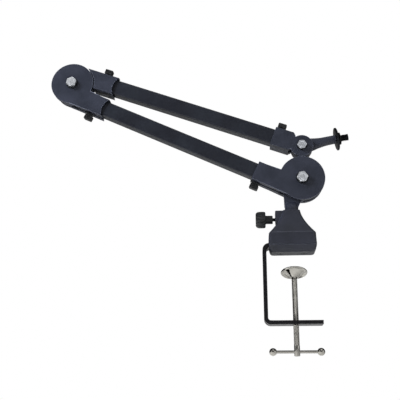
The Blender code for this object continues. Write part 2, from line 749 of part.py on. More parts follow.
def stem_section(x, z, half_height, half_depth, tilt, segments=20):
    """An oval across the stem, leaning with the stem's own direction."""
    lean = math.radians(tilt)
    points = []
    for i in range(segments):
        a = 2 * math.pi * i / segments
        up = half_height * math.sin(a)
        points.append((x - up * math.sin(lean), half_depth * math.cos(a), z + up * math.cos(lean)))
    return points


def build_stud_arm(frame):
    """The lug between the head cheeks and the stem that thins out to a round bar."""
    lug = rod(HEAD_LUG_RADIUS, -TONGUE_HALF, TONGUE_HALF, "Y", 40)
    obj = add_object("stud_arm", lug, plastic(), frame)
    stations = [(7.0, 3.8, 10.4, 3.5, 0), (15.6, 5.0, 8.9, 3.7, 2), (21.5, 6.4, 7.5, 4.4, 5),
                (28.0, 7.9, 6.4, 5.2, 8), (34.5, 9.4, 5.9, 5.7, STUD_TILT),
                (*STUD_ORIGIN, 5.8, 5.8, STUD_TILT)]
    join(obj, loft([stem_section(*s) for s in stations]))
    cut(obj, rod(HEAD_BOLT_RADIUS + GAP, -30, 30, "Y", 20))
    cut(obj, along_stud(rod(STUD_RADIUS + GAP, -9, 5, "X", 20)))


def along_stud(bm):
    """Turn a shape built along +X from the stem's end face into the stud's direction."""
    turn = Matrix.Rotation(-math.radians(STUD_TILT), 3, "Y")
    bmesh.ops.rotate(bm, verts=bm.verts, matrix=turn)
    return move(bm, STUD_ORIGIN[0], 0, STUD_ORIGIN[1])


def build_head_parts(frame):
    stud = [(STUD_RADIUS, -8.6), (STUD_RADIUS, 17.2), (STUD_RADIUS - 0.9, 18.0)]
    add_object("holder_stud", along_stud(turned(stud, 24, "X")), black_steel(), frame)
    bore = STUD_RADIUS + GAP
    ring = [(bore, 0.4), (15.4, 0.4), (16.1, 0.9), (16.1, 2.9), (15.4, 3.4), (7.4, 3.4),
            (7.0, 5.2), (bore, 5.2)]
    add_object("lock_ring", along_stud(turned(ring, 36, "X", hollow=True)), black_steel(), frame)
    add_object("seat_washer", along_stud(tube_ring(bore, 8.4, 5.5, 7.0, "X")), rubber(), frame)


# ---- assembly -----------------------------------------------------------------------------------------
def build_clamp():
    build_strap()
    build_socket_block()
    build_jaw_shell()
    build_jaw_screws()
    build_socket_liner()
    build_pad_clip()
    pad_axis = axis_empty("pad_axis", 0, PAD_CENTRE_Z, -PAD_TILT, axis="X")
    build_pad(pad_axis)
    build_clamp_screw()
    build_tommy_bar()
    build_thumbscrew()


def build_lower_arm(frame):
    for side, sign in (("front", -1), ("rear", 1)):
        build_fork_half(f"base_fork_{side}", frame, 0, 1, sign)
        build_fork_half(f"elbow_fork_{side}", frame, LOWER_LENGTH, -1, sign)
    start, end = 37.8, LOWER_LENGTH - 37.8
    add_object("lower_tube", tube_mesh(start, end, LOWER_OFFSET), arm_paint(), frame)
    build_spring_set("lower", frame, 38.0, 100.0, 240.0, LOWER_OFFSET)
    build_pivot_hardware("base", frame, 0, 0, BOLT_RADIUS, BOLT_FLATS, 8.2, 19.0)
    build_pivot_hardware("elbow", frame, LOWER_LENGTH, 0, BOLT_RADIUS, BOLT_FLATS, 8.2, 19.0)
    outer_face = LOWER_OFFSET + SLEEVE_HALF_HEIGHT
    build_clip("cable_clip_base", frame, 55.6, outer_face, 1)
    build_clip("cable_clip_lower_elbow", frame, LOWER_LENGTH - 42.5, outer_face, 1)


def build_upper_arm(frame):
    for side, sign in (("front", -1), ("rear", 1)):
        build_tongue_half(f"elbow_tongue_{side}", frame, sign)
        build_head_half(f"head_fork_{side}", frame, sign)
    start, end = 38.4, HEAD_X - 20.0
    add_object("upper_tube", tube_mesh(start, end, UPPER_OFFSET), arm_paint(), frame)
    build_spring_set("upper", frame, 42.0, 100.0, 230.0, UPPER_OFFSET)
    build_pivot_hardware("head", frame, HEAD_X, HEAD_Z, HEAD_BOLT_RADIUS, HEAD_BOLT_FLATS, 6.6, 12.0)
    outer_face = UPPER_OFFSET + SLEEVE_HALF_HEIGHT
    build_clip("cable_clip_upper_elbow", frame, 41.0, outer_face, 1)
    build_clip("cable_clip_head", frame, HEAD_X - 34.8, outer_face, 1)


def build_stand():
    clear_scene()
    build_clamp()
    build_pivot_post()
    swivel = axis_empty("swivel_axis", 0, 0)
    base = axis_empty("base_axis", *BASE_PIVOT, -LOWER_ANGLE, swivel)
    build_lower_arm(base)
    elbow = axis_empty("elbow_axis", *ELBOW_PIVOT, TUBE_SLOPE_UPPER, base)
    build_upper_arm(elbow)
    head = axis_empty("head_axis", *HEAD_PIVOT, 0, elbow)
    build_stud_arm(head)
    build_head_parts(head)
    bpy.data.objects["pivot_post"].parent = swivel


build_stand()
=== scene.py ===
"""The looks of the folding two-arm boom stand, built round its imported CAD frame.

Lengths are in millimetres and become metres when a mesh is made. Each piece is made in the
frame of its own arm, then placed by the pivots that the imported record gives.
"""

import json
import math

import bmesh
import bpy
from mathutils import Matrix, Vector


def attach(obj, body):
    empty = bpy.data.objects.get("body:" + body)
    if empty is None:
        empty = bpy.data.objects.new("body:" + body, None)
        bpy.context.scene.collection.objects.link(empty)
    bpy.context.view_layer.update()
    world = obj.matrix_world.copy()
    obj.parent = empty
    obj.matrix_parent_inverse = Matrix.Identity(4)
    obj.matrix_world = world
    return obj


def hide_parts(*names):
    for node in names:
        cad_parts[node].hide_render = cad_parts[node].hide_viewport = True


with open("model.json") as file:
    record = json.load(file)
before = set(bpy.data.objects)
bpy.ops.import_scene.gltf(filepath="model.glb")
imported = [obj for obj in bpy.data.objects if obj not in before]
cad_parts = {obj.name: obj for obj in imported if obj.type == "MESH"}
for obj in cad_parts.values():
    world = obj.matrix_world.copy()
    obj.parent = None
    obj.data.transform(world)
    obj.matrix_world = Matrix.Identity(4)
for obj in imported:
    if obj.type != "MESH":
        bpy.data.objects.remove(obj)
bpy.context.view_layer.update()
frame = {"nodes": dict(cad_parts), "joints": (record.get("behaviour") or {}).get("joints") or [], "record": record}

MM = 0.001
GAP = 0.3
PIVOT = {j["name"]: Vector(j["pos_m"]) / MM for j in frame["joints"] if "pos_m" in j}
BASE, ELBOW, HEAD = PIVOT["base_tilt"], PIVOT["elbow_fold"], PIVOT["head_tilt"]

# ---- dimensions shared with the CAD model --------------------------------------------------------
TUBE_SLOPE_UPPER = 20.465
STUD_TILT = 9.0
TUBE_HEIGHT, TUBE_DEPTH, TUBE_WALL, TUBE_CORNER = 22.0, 15.0, 1.2, 2.0
LOWER_OFFSET, UPPER_OFFSET = 14.8, 15.8
FITTING_HALF_DEPTH, CHEEK_INNER, TONGUE_HALF = 11.3, 5.1, 3.8
SLEEVE_HALF_HEIGHT, SLEEVE_REACH, SLEEVE_SCALLOP = 13.3, 62.0, 5.0
HUB_RADIUS, BASE_REAR_RADIUS, ELBOW_REAR_RADIUS, SLOT_RADIUS = 30.3, 29.2, 28.2, 36.0
HEAD_HUB_RADIUS, HEAD_HUB_REAR_RADIUS, HEAD_SLOT_RADIUS = 15.1, 14.0, 19.0
HEAD_SLEEVE_REACH, HEAD_SLEEVE_START, HEAD_CHAMFER = 41.5, 12.5, 3.6
BOLT_RADIUS, BOLT_FLATS = 3.9, 13.0
HEAD_BOLT_RADIUS, HEAD_BOLT_FLATS = 2.9, 11.0
BOLT_CROWN_Y, BOLT_BEARING_Y, SHANK_END_Y = -17.8, -13.1, 19.6
BOLT_WASHER_Y = (-12.8, -11.6)
NUT_BEARING_Y, NUT_HEX_END_Y, NUT_END_Y = 11.6, 16.7, 18.0
SLEEVE_MOUTH_DEPTH, SLEEVE_MOUTH_HEIGHT = 1.2, 0.9
SPRING_START, LOWER_SPRING_END, UPPER_SPRING_END = 100.0, 240.0, 230.0
STRAP_THICK, STRAP_HALF_WIDTH, STRAP_TOP_Z = 5.0, 12.5, 12.0
STRAP_LEFT_X, STRAP_TOP_END_X, STRAP_LOWER_END_X = -40.4, 20.0, 34.0
THROAT, STRAP_INNER_BEND = 88.0, 3.5
SCREW_RADIUS, SCREW_BOTTOM_Z, SCREW_PITCH = 3.7, -132.0, 1.25
PAD_CENTRE_Z, PAD_RADIUS, PAD_TILT = -29.6, 17.25, 17.0
BALL_RADIUS, BALL_NECK, BALL_STUB = 3.4, 2.2, 1.5
TBAR_Z, TBAR_RADIUS, TBAR_BALL_X, TBAR_BALL_RADIUS = -126.5, 1.95, 30.2, 4.9
BLOCK_X, BLOCK_SEAM_Z, BLOCK_SHOULDER_Z, BLOCK_TOP_Z = -1.0, 9.5, 26.0, 57.2
BLOCK_HALF_WIDTH, BLOCK_HALF_DEPTH, BLOCK_CORNER = 31.3, 16.5, 4.0
JAW_SCREW_XS = (-17.0, 14.0)
FLARE = 1.6
THUMB_Z, POST_RADIUS = 46.3, 7.0
LUG_RADIUS, NECK_HALF_WIDTH = 26.0, 9.4
STUD_ORIGIN, STUD_RADIUS, STUD_PITCH = (46.4, 11.7), 4.6, 1.5875
HEAD_LUG_RADIUS = 15.0

LOWER_SPAN = ELBOW - BASE
LOWER_LENGTH = math.hypot(LOWER_SPAN.x, LOWER_SPAN.z)
LOWER_ANGLE = math.atan2(LOWER_SPAN.z, LOWER_SPAN.x)
UPPER_SPAN = HEAD - ELBOW
UPPER_TURN = math.atan2(UPPER_SPAN.z, UPPER_SPAN.x) + math.radians(TUBE_SLOPE_UPPER)
HEAD_X = UPPER_SPAN.length * math.cos(UPPER_TURN)
HEAD_Z = UPPER_SPAN.length * math.sin(UPPER_TURN)

LOWER = Matrix.Translation(BASE) @ Matrix.Rotation(-LOWER_ANGLE, 4, "Y")
UPPER = Matrix.Translation(ELBOW) @ Matrix.Rotation(math.radians(TUBE_SLOPE_UPPER), 4, "Y")
HEAD_FRAME = Matrix.Translation(HEAD)
STUD = (HEAD_FRAME @ Matrix.Translation((STUD_ORIGIN[0], 0, STUD_ORIGIN[1]))
        @ Matrix.Rotation(-math.radians(STUD_TILT), 4, "Y"))
PAD = Matrix.Translation((0, 0, PAD_CENTRE_Z)) @ Matrix.Rotation(-math.radians(PAD_TILT), 4, "X")
WORLD = Matrix.Identity(4)


# ---- materials -----------------------------------------------------------------------------------
def linear(value):
    v = value / 255.0
    return v / 12.92 if v <= 0.04045 else ((v + 0.055) / 1.055) ** 2.4


def colour(rgb):
    return (*[linear(c) for c in rgb], 1.0)


class Nodes:
    """A small helper that adds and links shader nodes."""

    def __init__(self, name):
        self.material = bpy.data.materials.new(name)
        self.material.use_nodes = True
        self.tree = self.material.node_tree
        self.shader = self.tree.nodes["Principled BSDF"]
        self.coords = self.tree.nodes.new("ShaderNodeTexCoord").outputs["Object"]

    def link(self, source, target):
        self.tree.links.new(source, target)

    def noise(self, scale, detail=3.0, stretch=None):
        node = self.tree.nodes.new("ShaderNodeTexNoise")
        node.inputs["Scale"].default_value = scale
        node.inputs["Detail"].default_value = detail
        source = self.coords
        if stretch:
            mapping = self.tree.nodes.new("ShaderNodeMapping")
            mapping.inputs["Scale"].default_value = stretch
            self.link(source, mapping.inputs["Vector"])
            source = mapping.outputs["Vector"]
        self.link(source, node.inputs["Vector"])
        return node.outputs["Fac"]

    def remap(self, source, low, high, start=0.35, stop=0.65):
        node = self.tree.nodes.new("ShaderNodeMapRange")
        node.inputs["From Min"].default_value = start
        node.inputs["From Max"].default_value = stop
        node.inputs["To Min"].default_value = low
        node.inputs["To Max"].default_value = high
        self.link(source, node.inputs["Value"])
        return node.outputs["Result"]

    def mix(self, factor, first, second):
        node = self.tree.nodes.new("ShaderNodeMix")
        node.data_type = "RGBA"
        self.link(factor, node.inputs["Factor"])
        # Inputs 6 and 7 are the node's two colours.
        for index, value in ((6, first), (7, second)):
            if isinstance(value, tuple):
                node.inputs[index].default_value = value
            else:
                self.link(value, node.inputs[index])
        return node.outputs[2]

    def bump(self, height, strength, distance, normal=None):
        node = self.tree.nodes.new("ShaderNodeBump")
        node.inputs["Strength"].default_value = strength
        node.inputs["Distance"].default_value = distance
        self.link(height, node.inputs["Height"])
        if normal:
            self.link(normal, node.inputs["Normal"])
        return node.outputs["Normal"]


def painted_edge_highlight(nodes, tone, edge_highlight, radius=0.0006):
    """Painted highlight: a lighter colour laid on wherever an edge is sharp."""
    bevel = nodes.tree.nodes.new("ShaderNodeBevel")
    bevel.samples = 6
    bevel.inputs["Radius"].default_value = radius
    geometry = nodes.tree.nodes.new("ShaderNodeNewGeometry")
    dot = nodes.tree.nodes.new("ShaderNodeVectorMath")
    dot.operation = "DOT_PRODUCT"
    nodes.link(bevel.outputs["Normal"], dot.inputs[0])
    nodes.link(geometry.outputs["Normal"], dot.inputs[1])
    # painted highlight: the edge colour is mixed in where the bevel normal turns away from the face normal
    return nodes.mix(nodes.remap(dot.outputs["Value"], 1.0, 0.0, 0.90, 0.985), tone, edge_highlight)


def moulded(name, dark, light, grain, rough, edge_highlight=None):
    """Moulded plastic: slow mottling, fine spark-eroded grain and a painted highlight on sharp edges."""
    n = Nodes(name)
    tone = n.mix(n.remap(n.noise(45.0, 4.0), 0.0, 1.0), colour(dark), colour(light))
    if edge_highlight:
        # painted highlight on the sharp edges, in the given edge colour
        tone = painted_edge_highlight(n, tone, colour(edge_highlight))
    n.link(tone, n.shader.inputs["Base Color"])
    n.link(n.remap(n.noise(160.0, 3.0), rough - 0.05, rough + 0.06), n.shader.inputs["Roughness"])
    fine = n.bump(n.noise(grain, 2.0), 0.22, 0.00012)
    n.link(n.bump(n.noise(grain / 9, 2.0), 0.06, 0.0004, fine), n.shader.inputs["Normal"])
    n.shader.inputs["Specular IOR Level"].default_value = 0.3
    return n.material


def painted(name, dark, light, rough, peel=0.1, metallic=0.0, coat=0.0):
    """Sprayed or powder-coated metal with a little orange peel."""
    n = Nodes(name)
    tone = n.mix(n.remap(n.noise(30.0, 4.0), 0.0, 1.0), colour(dark), colour(light))
    n.link(tone, n.shader.inputs["Base Color"])
    n.link(n.remap(n.noise(220.0, 3.0), rough - 0.04, rough + 0.05), n.shader.inputs["Roughness"])
    n.link(n.bump(n.noise(700.0, 2.0), peel, 0.0002), n.shader.inputs["Normal"])
    n.shader.inputs["Metallic"].default_value = metallic
    n.shader.inputs["Coat Weight"].default_value = coat
    n.shader.inputs["Specular IOR Level"].default_value = 0.35
    n.shader.inputs["Coat Roughness"].default_value = 0.25
    return n.material


def plated(name, dark, light, rough, stretch=(1.0, 1.0, 1.0), scratch=0.05, metallic=1.0):
    """Plated or brushed metal: drawn-out scratches, and tarnish in slow patches."""
    n = Nodes(name)
    tone = n.mix(n.remap(n.noise(90.0, 5.0), 0.0, 1.0), colour(dark), colour(light))
    n.link(tone, n.shader.inputs["Base Color"])
    lines = n.noise(900.0, 3.0, stretch)
    n.link(n.remap(lines, rough - 0.05, rough + 0.08), n.shader.inputs["Roughness"])
    n.link(n.bump(lines, scratch, 0.0001), n.shader.inputs["Normal"])
    n.shader.inputs["Metallic"].default_value = metallic
    return n.material


MATERIALS = {
    # The last colour in a moulded entry is a painted highlight for its sharp edges.
    "moulded_black": moulded("fitting_plastic", (26, 29, 38), (34, 37, 47), 2600.0, 0.5, (88, 92, 106)),
    "block_plastic": moulded("block_plastic", (26, 28, 35), (32, 34, 43), 2400.0, 0.52, (84, 88, 101)),
    "knob_plastic": moulded("grip_plastic", (13, 14, 16), (20, 21, 23), 1900.0, 0.45, (60, 62, 65)),
    "nylon": moulded("washer_nylon", (22, 23, 25), (30, 31, 34), 1500.0, 0.5),
    "soft_rubber": moulded("seat_rubber", (14, 14, 15), (20, 20, 21), 1200.0, 0.75),
    "arm_paint": painted("arm_powder_coat", (15, 17, 24), (21, 24, 31), 0.42, 0.14),
    "strap_paint": painted("strap_enamel", (3, 3, 5), (6, 6, 9), 0.36, 0.03),
    "black_steel": painted("black_oxide", (24, 26, 29), (34, 36, 40), 0.36, 0.1, 0.85),
    "bright_zinc": plated("zinc_plate", (188, 192, 198), (210, 213, 218), 0.3, (1, 6, 1), 0.06, 0.8),
    "nickel_plate": plated("nickel_plate", (146, 144, 138), (168, 166, 160), 0.08, (1, 1, 0.15), 0.02),
    "screw_steel": plated("screw_nickel", (132, 130, 125), (154, 152, 147), 0.16, (1, 1, 0.15), 0.03),
    "spring_steel": plated("spring_wire", (96, 98, 102), (132, 134, 138), 0.35),
}


# ---- mesh tools ----------------------------------------------------------------------------------
def loft(rings, loop=False):
    """A closed skin through rings of equally many points."""
    bm = bmesh.new()
    made = [[bm.verts.new(p) for p in ring] for ring in rings]
    count = len(rings[0])
    pairs = list(zip(made, made[1:]))
    if loop:
        pairs.append((made[-1], made[0]))
    for low, high in pairs:
        for i in range(count):
            j = (i + 1) % count
            bm.faces.new((low[i], low[j], high[j], high[i]))
    if not loop:
        bm.faces.new(made[0][::-1])
        bm.faces.new(made[-1])
    return bm


def onto_axis(bm, axis):
    if axis == "X":
        bmesh.ops.rotate(bm, verts=bm.verts, matrix=Matrix.Rotation(math.pi / 2, 3, "Y"))
    if axis == "Y":
        bmesh.ops.rotate(bm, verts=bm.verts, matrix=Matrix.Rotation(-math.pi / 2, 3, "X"))
    return bm


def move(bm, x=0.0, y=0.0, z=0.0):
    bmesh.ops.translate(bm, verts=bm.verts, vec=(x, y, z))
    return bm


def ring_at(height, radius, segments):
    """A ring at a height; radius is a number or a function of the angle."""
    points = []
    for i in range(segments):
        angle = 2 * math.pi * i / segments
        r = radius(angle) if callable(radius) else radius
        points.append((r * math.cos(angle), r * math.sin(angle), height))
    return points


def turned(profile, segments=64, axis="Z", hollow=False):
    """A lathe shape from (radius, height) pairs; radius may be a function of the angle."""
    return onto_axis(loft([ring_at(h, r, segments) for r, h in profile], loop=hollow), axis)


def rod(radius, low, high, axis="Z", segments=48):
    return turned([(radius, low), (radius, high)], segments, axis)


def eased_ring(inner, outer, low, high, axis="Z", segments=72, ease=0.15):
    """A flat ring whose four edges are slightly broken."""
    profile = [(inner, low + ease), (inner + ease, low), (outer - ease, low), (outer, low + ease),
               (outer, high - ease), (outer - ease, high), (inner + ease, high), (inner, high - ease)]
    return turned(profile, segments, axis, hollow=True)


def box(x0, x1, y0, y1, z0, z1):
    corners = [(x0, y0), (x1, y0), (x1, y1), (x0, y1)]
    return loft([[(x, y, z) for x, y in corners] for z in (z0, z1)])


def bevel_edges(bm, choose, offset, segments=3):
    edges = [e for e in bm.edges if choose(e)]
    bmesh.ops.bevel(bm, geom=edges, offset=offset, segments=segments, profile=0.5,
                    affect="EDGES", clamp_overlap=True)
    return bm


def prism(outline, y0, y1, bevels=(0.0, 0.0)):
    """An (x, z) outline carried along Y, with rounded edges at y0 and at y1."""
    bm = loft([[(x, y, z) for x, z in outline] for y in (y0, y1)])
    for at, offset in zip((y0, y1), bevels):
        if offset:
            bevel_edges(bm, lambda e: all(abs(v.co.y - at) < 1e-6 for v in e.verts), offset)
    return bm


def arc(cx, cz, radius, start, stop, steps):
    points = []
    for i in range(steps + 1):
        a = math.radians(start + (stop - start) * i / steps)
        points.append((cx + radius * math.cos(a), cz + radius * math.sin(a)))
    return points


def rounded_rectangle(half_x, half_y, corner, steps=8, cx=0.0, cy=0.0):
    points = []
    for quarter, (sx, sy) in enumerate(((1, 1), (-1, 1), (-1, -1), (1, -1))):
        start = 90 * quarter
        points += arc(cx + sx * (half_x - corner), cy + sy * (half_y - corner),
                      corner, start, start + 90, steps)
    return points


def smooth_path(stations, steps):
    """Catmull-Rom values between rows of numbers."""
    rows = [stations[0], *stations, stations[-1]]
    out = []
    for a, b, c, d in zip(rows, rows[1:], rows[2:], rows[3:]):
        for i in range(steps):
            t = i / steps
            out.append(tuple(
                0.5 * (2 * q + (r - p) * t + (2 * p - 5 * q + 4 * r - s) * t * t
                       + (3 * q - p - 3 * r + s) * t ** 3)
                for p, q, r, s in zip(a, b, c, d)))
    out.append(tuple(stations[-1]))
    return out


# ---- pieces --------------------------------------------------------------------------------------
def to_mesh(name, bm):
    bmesh.ops.recalc_face_normals(bm, faces=bm.faces)
    bmesh.ops.scale(bm, vec=(MM, MM, MM), verts=bm.verts)
    mesh = bpy.data.meshes.new(name)
    bm.to_mesh(mesh)
    bm.free()
    return mesh


def apply_modifiers(obj):
    bpy.context.view_layer.update()
    evaluated = obj.evaluated_get(bpy.context.evaluated_depsgraph_get())
    mesh = bpy.data.meshes.new_from_object(evaluated)
    obj.modifiers.clear()
    old = obj.data
    obj.data = mesh
    bpy.data.meshes.remove(old)


def piece(name, bm, material, body, nodes, place=WORLD, cuts=(), joins=(), sharp=32.0,
          flat_area=60.0):
    """Make a piece from bm, cut and join what is given, and put it on its CAD body."""
    obj = bpy.data.objects.new(name, to_mesh(name, bm))
    bpy.context.collection.objects.link(obj)
    helpers = []
    for operation, shapes in (("UNION", joins), ("DIFFERENCE", cuts)):
        for i, shape in enumerate(shapes):
            helper = bpy.data.objects.new(f"{name}_{operation}_{i}", to_mesh(name, shape))
            bpy.context.collection.objects.link(helper)
            helpers.append(helper)
            modifier = obj.modifiers.new("cut", "BOOLEAN")
            modifier.operation = operation
            modifier.object = helper
            modifier.solver = "EXACT"
    if helpers:
        apply_modifiers(obj)
    for helper in helpers:
        bpy.data.objects.remove(helper)
    scaled = place.copy()
    scaled.translation *= MM
    obj.data.transform(scaled)
    obj.data.name = name
    obj.data.materials.clear()
    obj.data.materials.append(MATERIALS[material])
    obj.data.shade_smooth()
    obj.data.set_sharp_from_angle(angle=math.radians(sharp))
    for face in obj.data.polygons:
        if face.area > flat_area * MM * MM:
            face.use_smooth = False
    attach(obj, body)
    if nodes:
        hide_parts(*nodes)
    return obj


# ---- threads and hexagons ------------------------------------------------------------------------
def hexagon(flats, limit=1e9):
    """Radius of a hexagon's side by angle, cut back to a circle of radius limit."""
    sixth = math.pi / 3

    def radius(angle):
        inside = (angle + sixth / 2) % sixth - sixth / 2
        return min(limit, flats / 2 / math.cos(inside))
    return radius


def thread_radius(crest, depth, pitch, height):
    """Radius by angle of a V thread with flattened crests and roots."""
    def radius(angle):
        phase = (height / pitch - angle / (2 * math.pi)) % 1.0
        ramp = 1.0 - abs(2.0 * phase - 1.0)
        return crest - depth * (1.0 - min(1.0, max(0.0, 1.5 * ramp - 0.25)))
    return radius


def thread_profile(crest, depth, pitch, low, high, per_pitch=6):
    """Thread rings from low to high, running out to plain at both ends."""
    count = max(2, round((high - low) / pitch * per_pitch))
    profile = []
    for i in range(count + 1):
        h = low + (high - low) * i / count
        fade = min(1.0, (h - low) / pitch, (high - h) / pitch)
        profile.append((thread_radius(crest, depth * max(fade, 0.02), pitch, h), h))
    return profile


def hex_head(flats, bearing, crown, recess=0.35):
    """Rings of a hexagon head from its crown to its bearing face; crown may lie either way."""
    way = 1 if crown > bearing else -1
    rim = flats * 0.475
    profile = [(flats * 0.05, crown - way * recess), (flats * 0.30, crown - way * recess),
               (flats * 0.335, crown - way * 0.05), (flats * 0.35, crown), (rim - 0.15, crown)]
    for depth in (0.0, 0.12, 0.25, 0.4, 0.55, 0.7, 0.9):
        profile.append((hexagon(flats, rim + depth * math.sqrt(3)), crown - way * depth))
    profile += [(hexagon(flats), bearing + way * 0.3), (hexagon(flats, flats * 0.53), bearing)]
    return profile


# ---- clamp ---------------------------------------------------------------------------------------
def strap_outline():
    inner, outer = STRAP_INNER_BEND, STRAP_INNER_BEND + STRAP_THICK
    top, under = STRAP_TOP_Z, STRAP_TOP_Z - STRAP_THICK
    floor, sole = -THROAT, -THROAT - STRAP_THICK
    left, wall = STRAP_LEFT_X, STRAP_LEFT_X + STRAP_THICK
    steps = 16
    points = [(STRAP_TOP_END_X, under), (STRAP_TOP_END_X, top)]
    points += arc(left + outer, top - outer, outer, 90, 180, steps)
    points += arc(left + outer, sole + outer, outer, 180, 270, steps)
    points += [(STRAP_LOWER_END_X, sole), (STRAP_LOWER_END_X, floor)]
    points += arc(wall + inner, floor + inner, inner, 270, 180, steps)
    points += arc(wall + inner, under - inner, inner, 180, 90, steps)
    return points


def build_strap():
    body = prism(strap_outline(), -STRAP_HALF_WIDTH, STRAP_HALF_WIDTH, (0.8, 0.8))
    edge = SCREW_RADIUS + 0.4
    hole = turned([(edge + 3.0, -THROAT - STRAP_THICK - 2.5), (edge, -THROAT - STRAP_THICK + 0.5),
                   (edge, -THROAT - 0.5), (edge + 3.0, -THROAT + 2.5)], 48)
    cuts = [hole] + [move(rod(2.4, 0, 20), x) for x in JAW_SCREW_XS]
    piece("strap", body, "strap_paint", "clamp", ["clamp_strap"], cuts=cuts)


def block_section(half_width, half_depth, corner, z):
    return [(x, y, z) for x, y in rounded_rectangle(half_width, half_depth, corner, cx=BLOCK_X)]


def flare(z, top, bottom):
    drop = (BLOCK_TOP_Z - z) / (BLOCK_TOP_Z - BLOCK_SHOULDER_Z)
    return top + (bottom - top) * drop ** FLARE


def strap_pocket():
    reach = STRAP_HALF_WIDTH + GAP
    return box(-60, STRAP_TOP_END_X + GAP, -reach, reach,
               STRAP_TOP_Z - STRAP_THICK - GAP, STRAP_TOP_Z + GAP)


def build_socket_block():
    w, d, c = BLOCK_HALF_WIDTH, BLOCK_HALF_DEPTH, BLOCK_CORNER
    rings = [block_section(w - 0.5, d - 0.5, c, BLOCK_SEAM_Z + 0.2),
             block_section(w - 0.15, d - 0.15, c, BLOCK_SEAM_Z + 0.4),
             block_section(w, d, c, BLOCK_SEAM_Z + 0.9),
             block_section(w - 0.35, d - 0.25, c, 17.5),
             block_section(w - 0.7, d - 0.5, c, 25.0),
             block_section(w - 0.9, d - 0.7, c, 25.5),
             block_section(w - 1.25, d - 1.0, c, 26.0)]
    low, high, levels = BLOCK_SHOULDER_Z + 0.4, BLOCK_TOP_Z - 0.9, 28
    for i in range(levels + 1):
        z = low + (high - low) * i / levels
        rings.append(block_section(flare(z, 11.5, w - 1.2), flare(z, 11.5, d - 0.8), c, z))
    rings += [block_section(11.3, 11.3, c - 0.2, BLOCK_TOP_Z - 0.4),
              block_section(10.9, 10.9, c - 0.6, BLOCK_TOP_Z - 0.1),
              block_section(10.5, 10.5, c - 1.0, BLOCK_TOP_Z)]
    boss_half, boss_z = 8.3, BLOCK_TOP_Z - 8.35
    boss = []
    for x, shrink in ((-22.3, 0.7), (-22.0, 0.25), (-21.5, 0.0), (-6.0, 0.0)):
        half = boss_half - shrink
        boss.append([(x, y, z) for y, z in rounded_rectangle(half, half, 1.8 - shrink, cy=boss_z)])
    cuts = [strap_pocket(), rod(8.8, 16.0, 70.0), move(rod(2.8, -40, -3, "X"), z=THUMB_Z)]
    cuts += [move(rod(2.4, 5, 21), x) for x in JAW_SCREW_XS]
    piece("block", loft(rings), "block_plastic", "clamp", ["socket_block"], joins=[loft(boss)],
          cuts=cuts, sharp=24.0, flat_area=150.0)


def build_jaw_shell():
    w, d, c = BLOCK_HALF_WIDTH, BLOCK_HALF_DEPTH, BLOCK_CORNER
    rings = [block_section(w - 4.6, d - 4.3, c - 1.6, 0.0),
             block_section(w - 3.5, d - 3.4, c - 1.0, 0.35),
             block_section(w - 2.6, d - 2.6, c - 0.4, 1.1),
             block_section(w - 1.9, d - 1.9, c, 2.3),
             block_section(w - 1.2, d - 1.2, c, 4.5),
             block_section(w - 0.1, d - 0.1, c, BLOCK_SEAM_Z - 0.9),
             block_section(w - 0.2, d - 0.2, c, BLOCK_SEAM_Z - 0.4),
             block_section(w - 0.6, d - 0.6, c, BLOCK_SEAM_Z - 0.2)]
    cuts = [strap_pocket()]
    for x in JAW_SCREW_XS:
        cuts.append(move(turned([(5.0, -5), (5.0, -0.1), (4.6, 0.3), (4.6, 3.4), (2.4, 3.41),
                                 (2.4, 20)], 48), x))
    piece("jaw", loft(rings), "block_plastic", "clamp", ["jaw_shell"], cuts=cuts, sharp=24.0,
          flat_area=150.0)


def build_jaw_screws():
    for side, x in zip(("left", "right"), JAW_SCREW_XS):
        head = [(0.3, 0.3), (3.4, 0.3), (4.0, 0.6), (4.2, 1.1), (4.2, 3.1), (2.3, 3.1)]
        threads = thread_profile(2.2, 0.45, 1.6, 3.2, 18.0)
        profile = head + threads + [(0.4, 19.4)]
        slots = [move(box(-2.6, 2.6, -0.45, 0.45, -1, 2.0), x),
                 move(box(-0.45, 0.45, -2.6, 2.6, -1, 2.0), x)]
        piece(f"jaw_bolt_{side}", move(turned(profile, 32), x), "black_steel", "clamp",
              [f"jaw_screw_{side}"], cuts=slots)


def build_socket_liner():
    ring = eased_ring(POST_RADIUS + 0.35, 8.5, 16.3, BLOCK_TOP_Z - 0.6, ease=0.3)
    hole = move(rod(2.7, -20, -3, "X"), z=THUMB_Z)
    piece("liner", ring, "nylon", "clamp", ["socket_liner"], cuts=[hole])


# ---- screw, pad and tommy bar --------------------------------------------------------------------
def build_pad():
    clip = eased_ring(BALL_STUB + GAP, 3.4, PAD_CENTRE_Z + 3.5, PAD_CENTRE_Z + 4.3)
    piece("ball_clip", clip, "nickel_plate", "screw_carrier", ["pad_clip"])
    bore, rim = BALL_RADIUS + 0.35, PAD_RADIUS
    under = [(bore, -2.95), (bore + 0.15, -3.05), (4.35, -3.05), (4.75, -2.75), (5.1, -2.1), (5.8, -1.2),
             (7.0, 0.2), (8.4, 1.5), (9.8, 2.6), (11.2, 3.5), (12.2, 4.0), (12.9, 4.5), (13.6, 4.85),
             (14.3, 4.8), (14.9, 4.3), (15.4, 3.75), (16.0, 3.45), (16.6, 3.6), (16.95, 4.05), (rim, 4.55)]
    over = [(rim, 5.0), (16.95, 5.45), (16.4, 5.7), (15.6, 5.65), (14.6, 5.45), (12.6, 5.3),
            (11.2, 4.75), (9.4, 3.65), (7.6, 2.7), (5.6, 2.0), (4.3, 1.6), (bore, 1.3)]
    piece("pad", turned(under + over, 96, hollow=True), "nickel_plate", "pad", ["swivel_pad"],
          place=PAD, sharp=60.0)


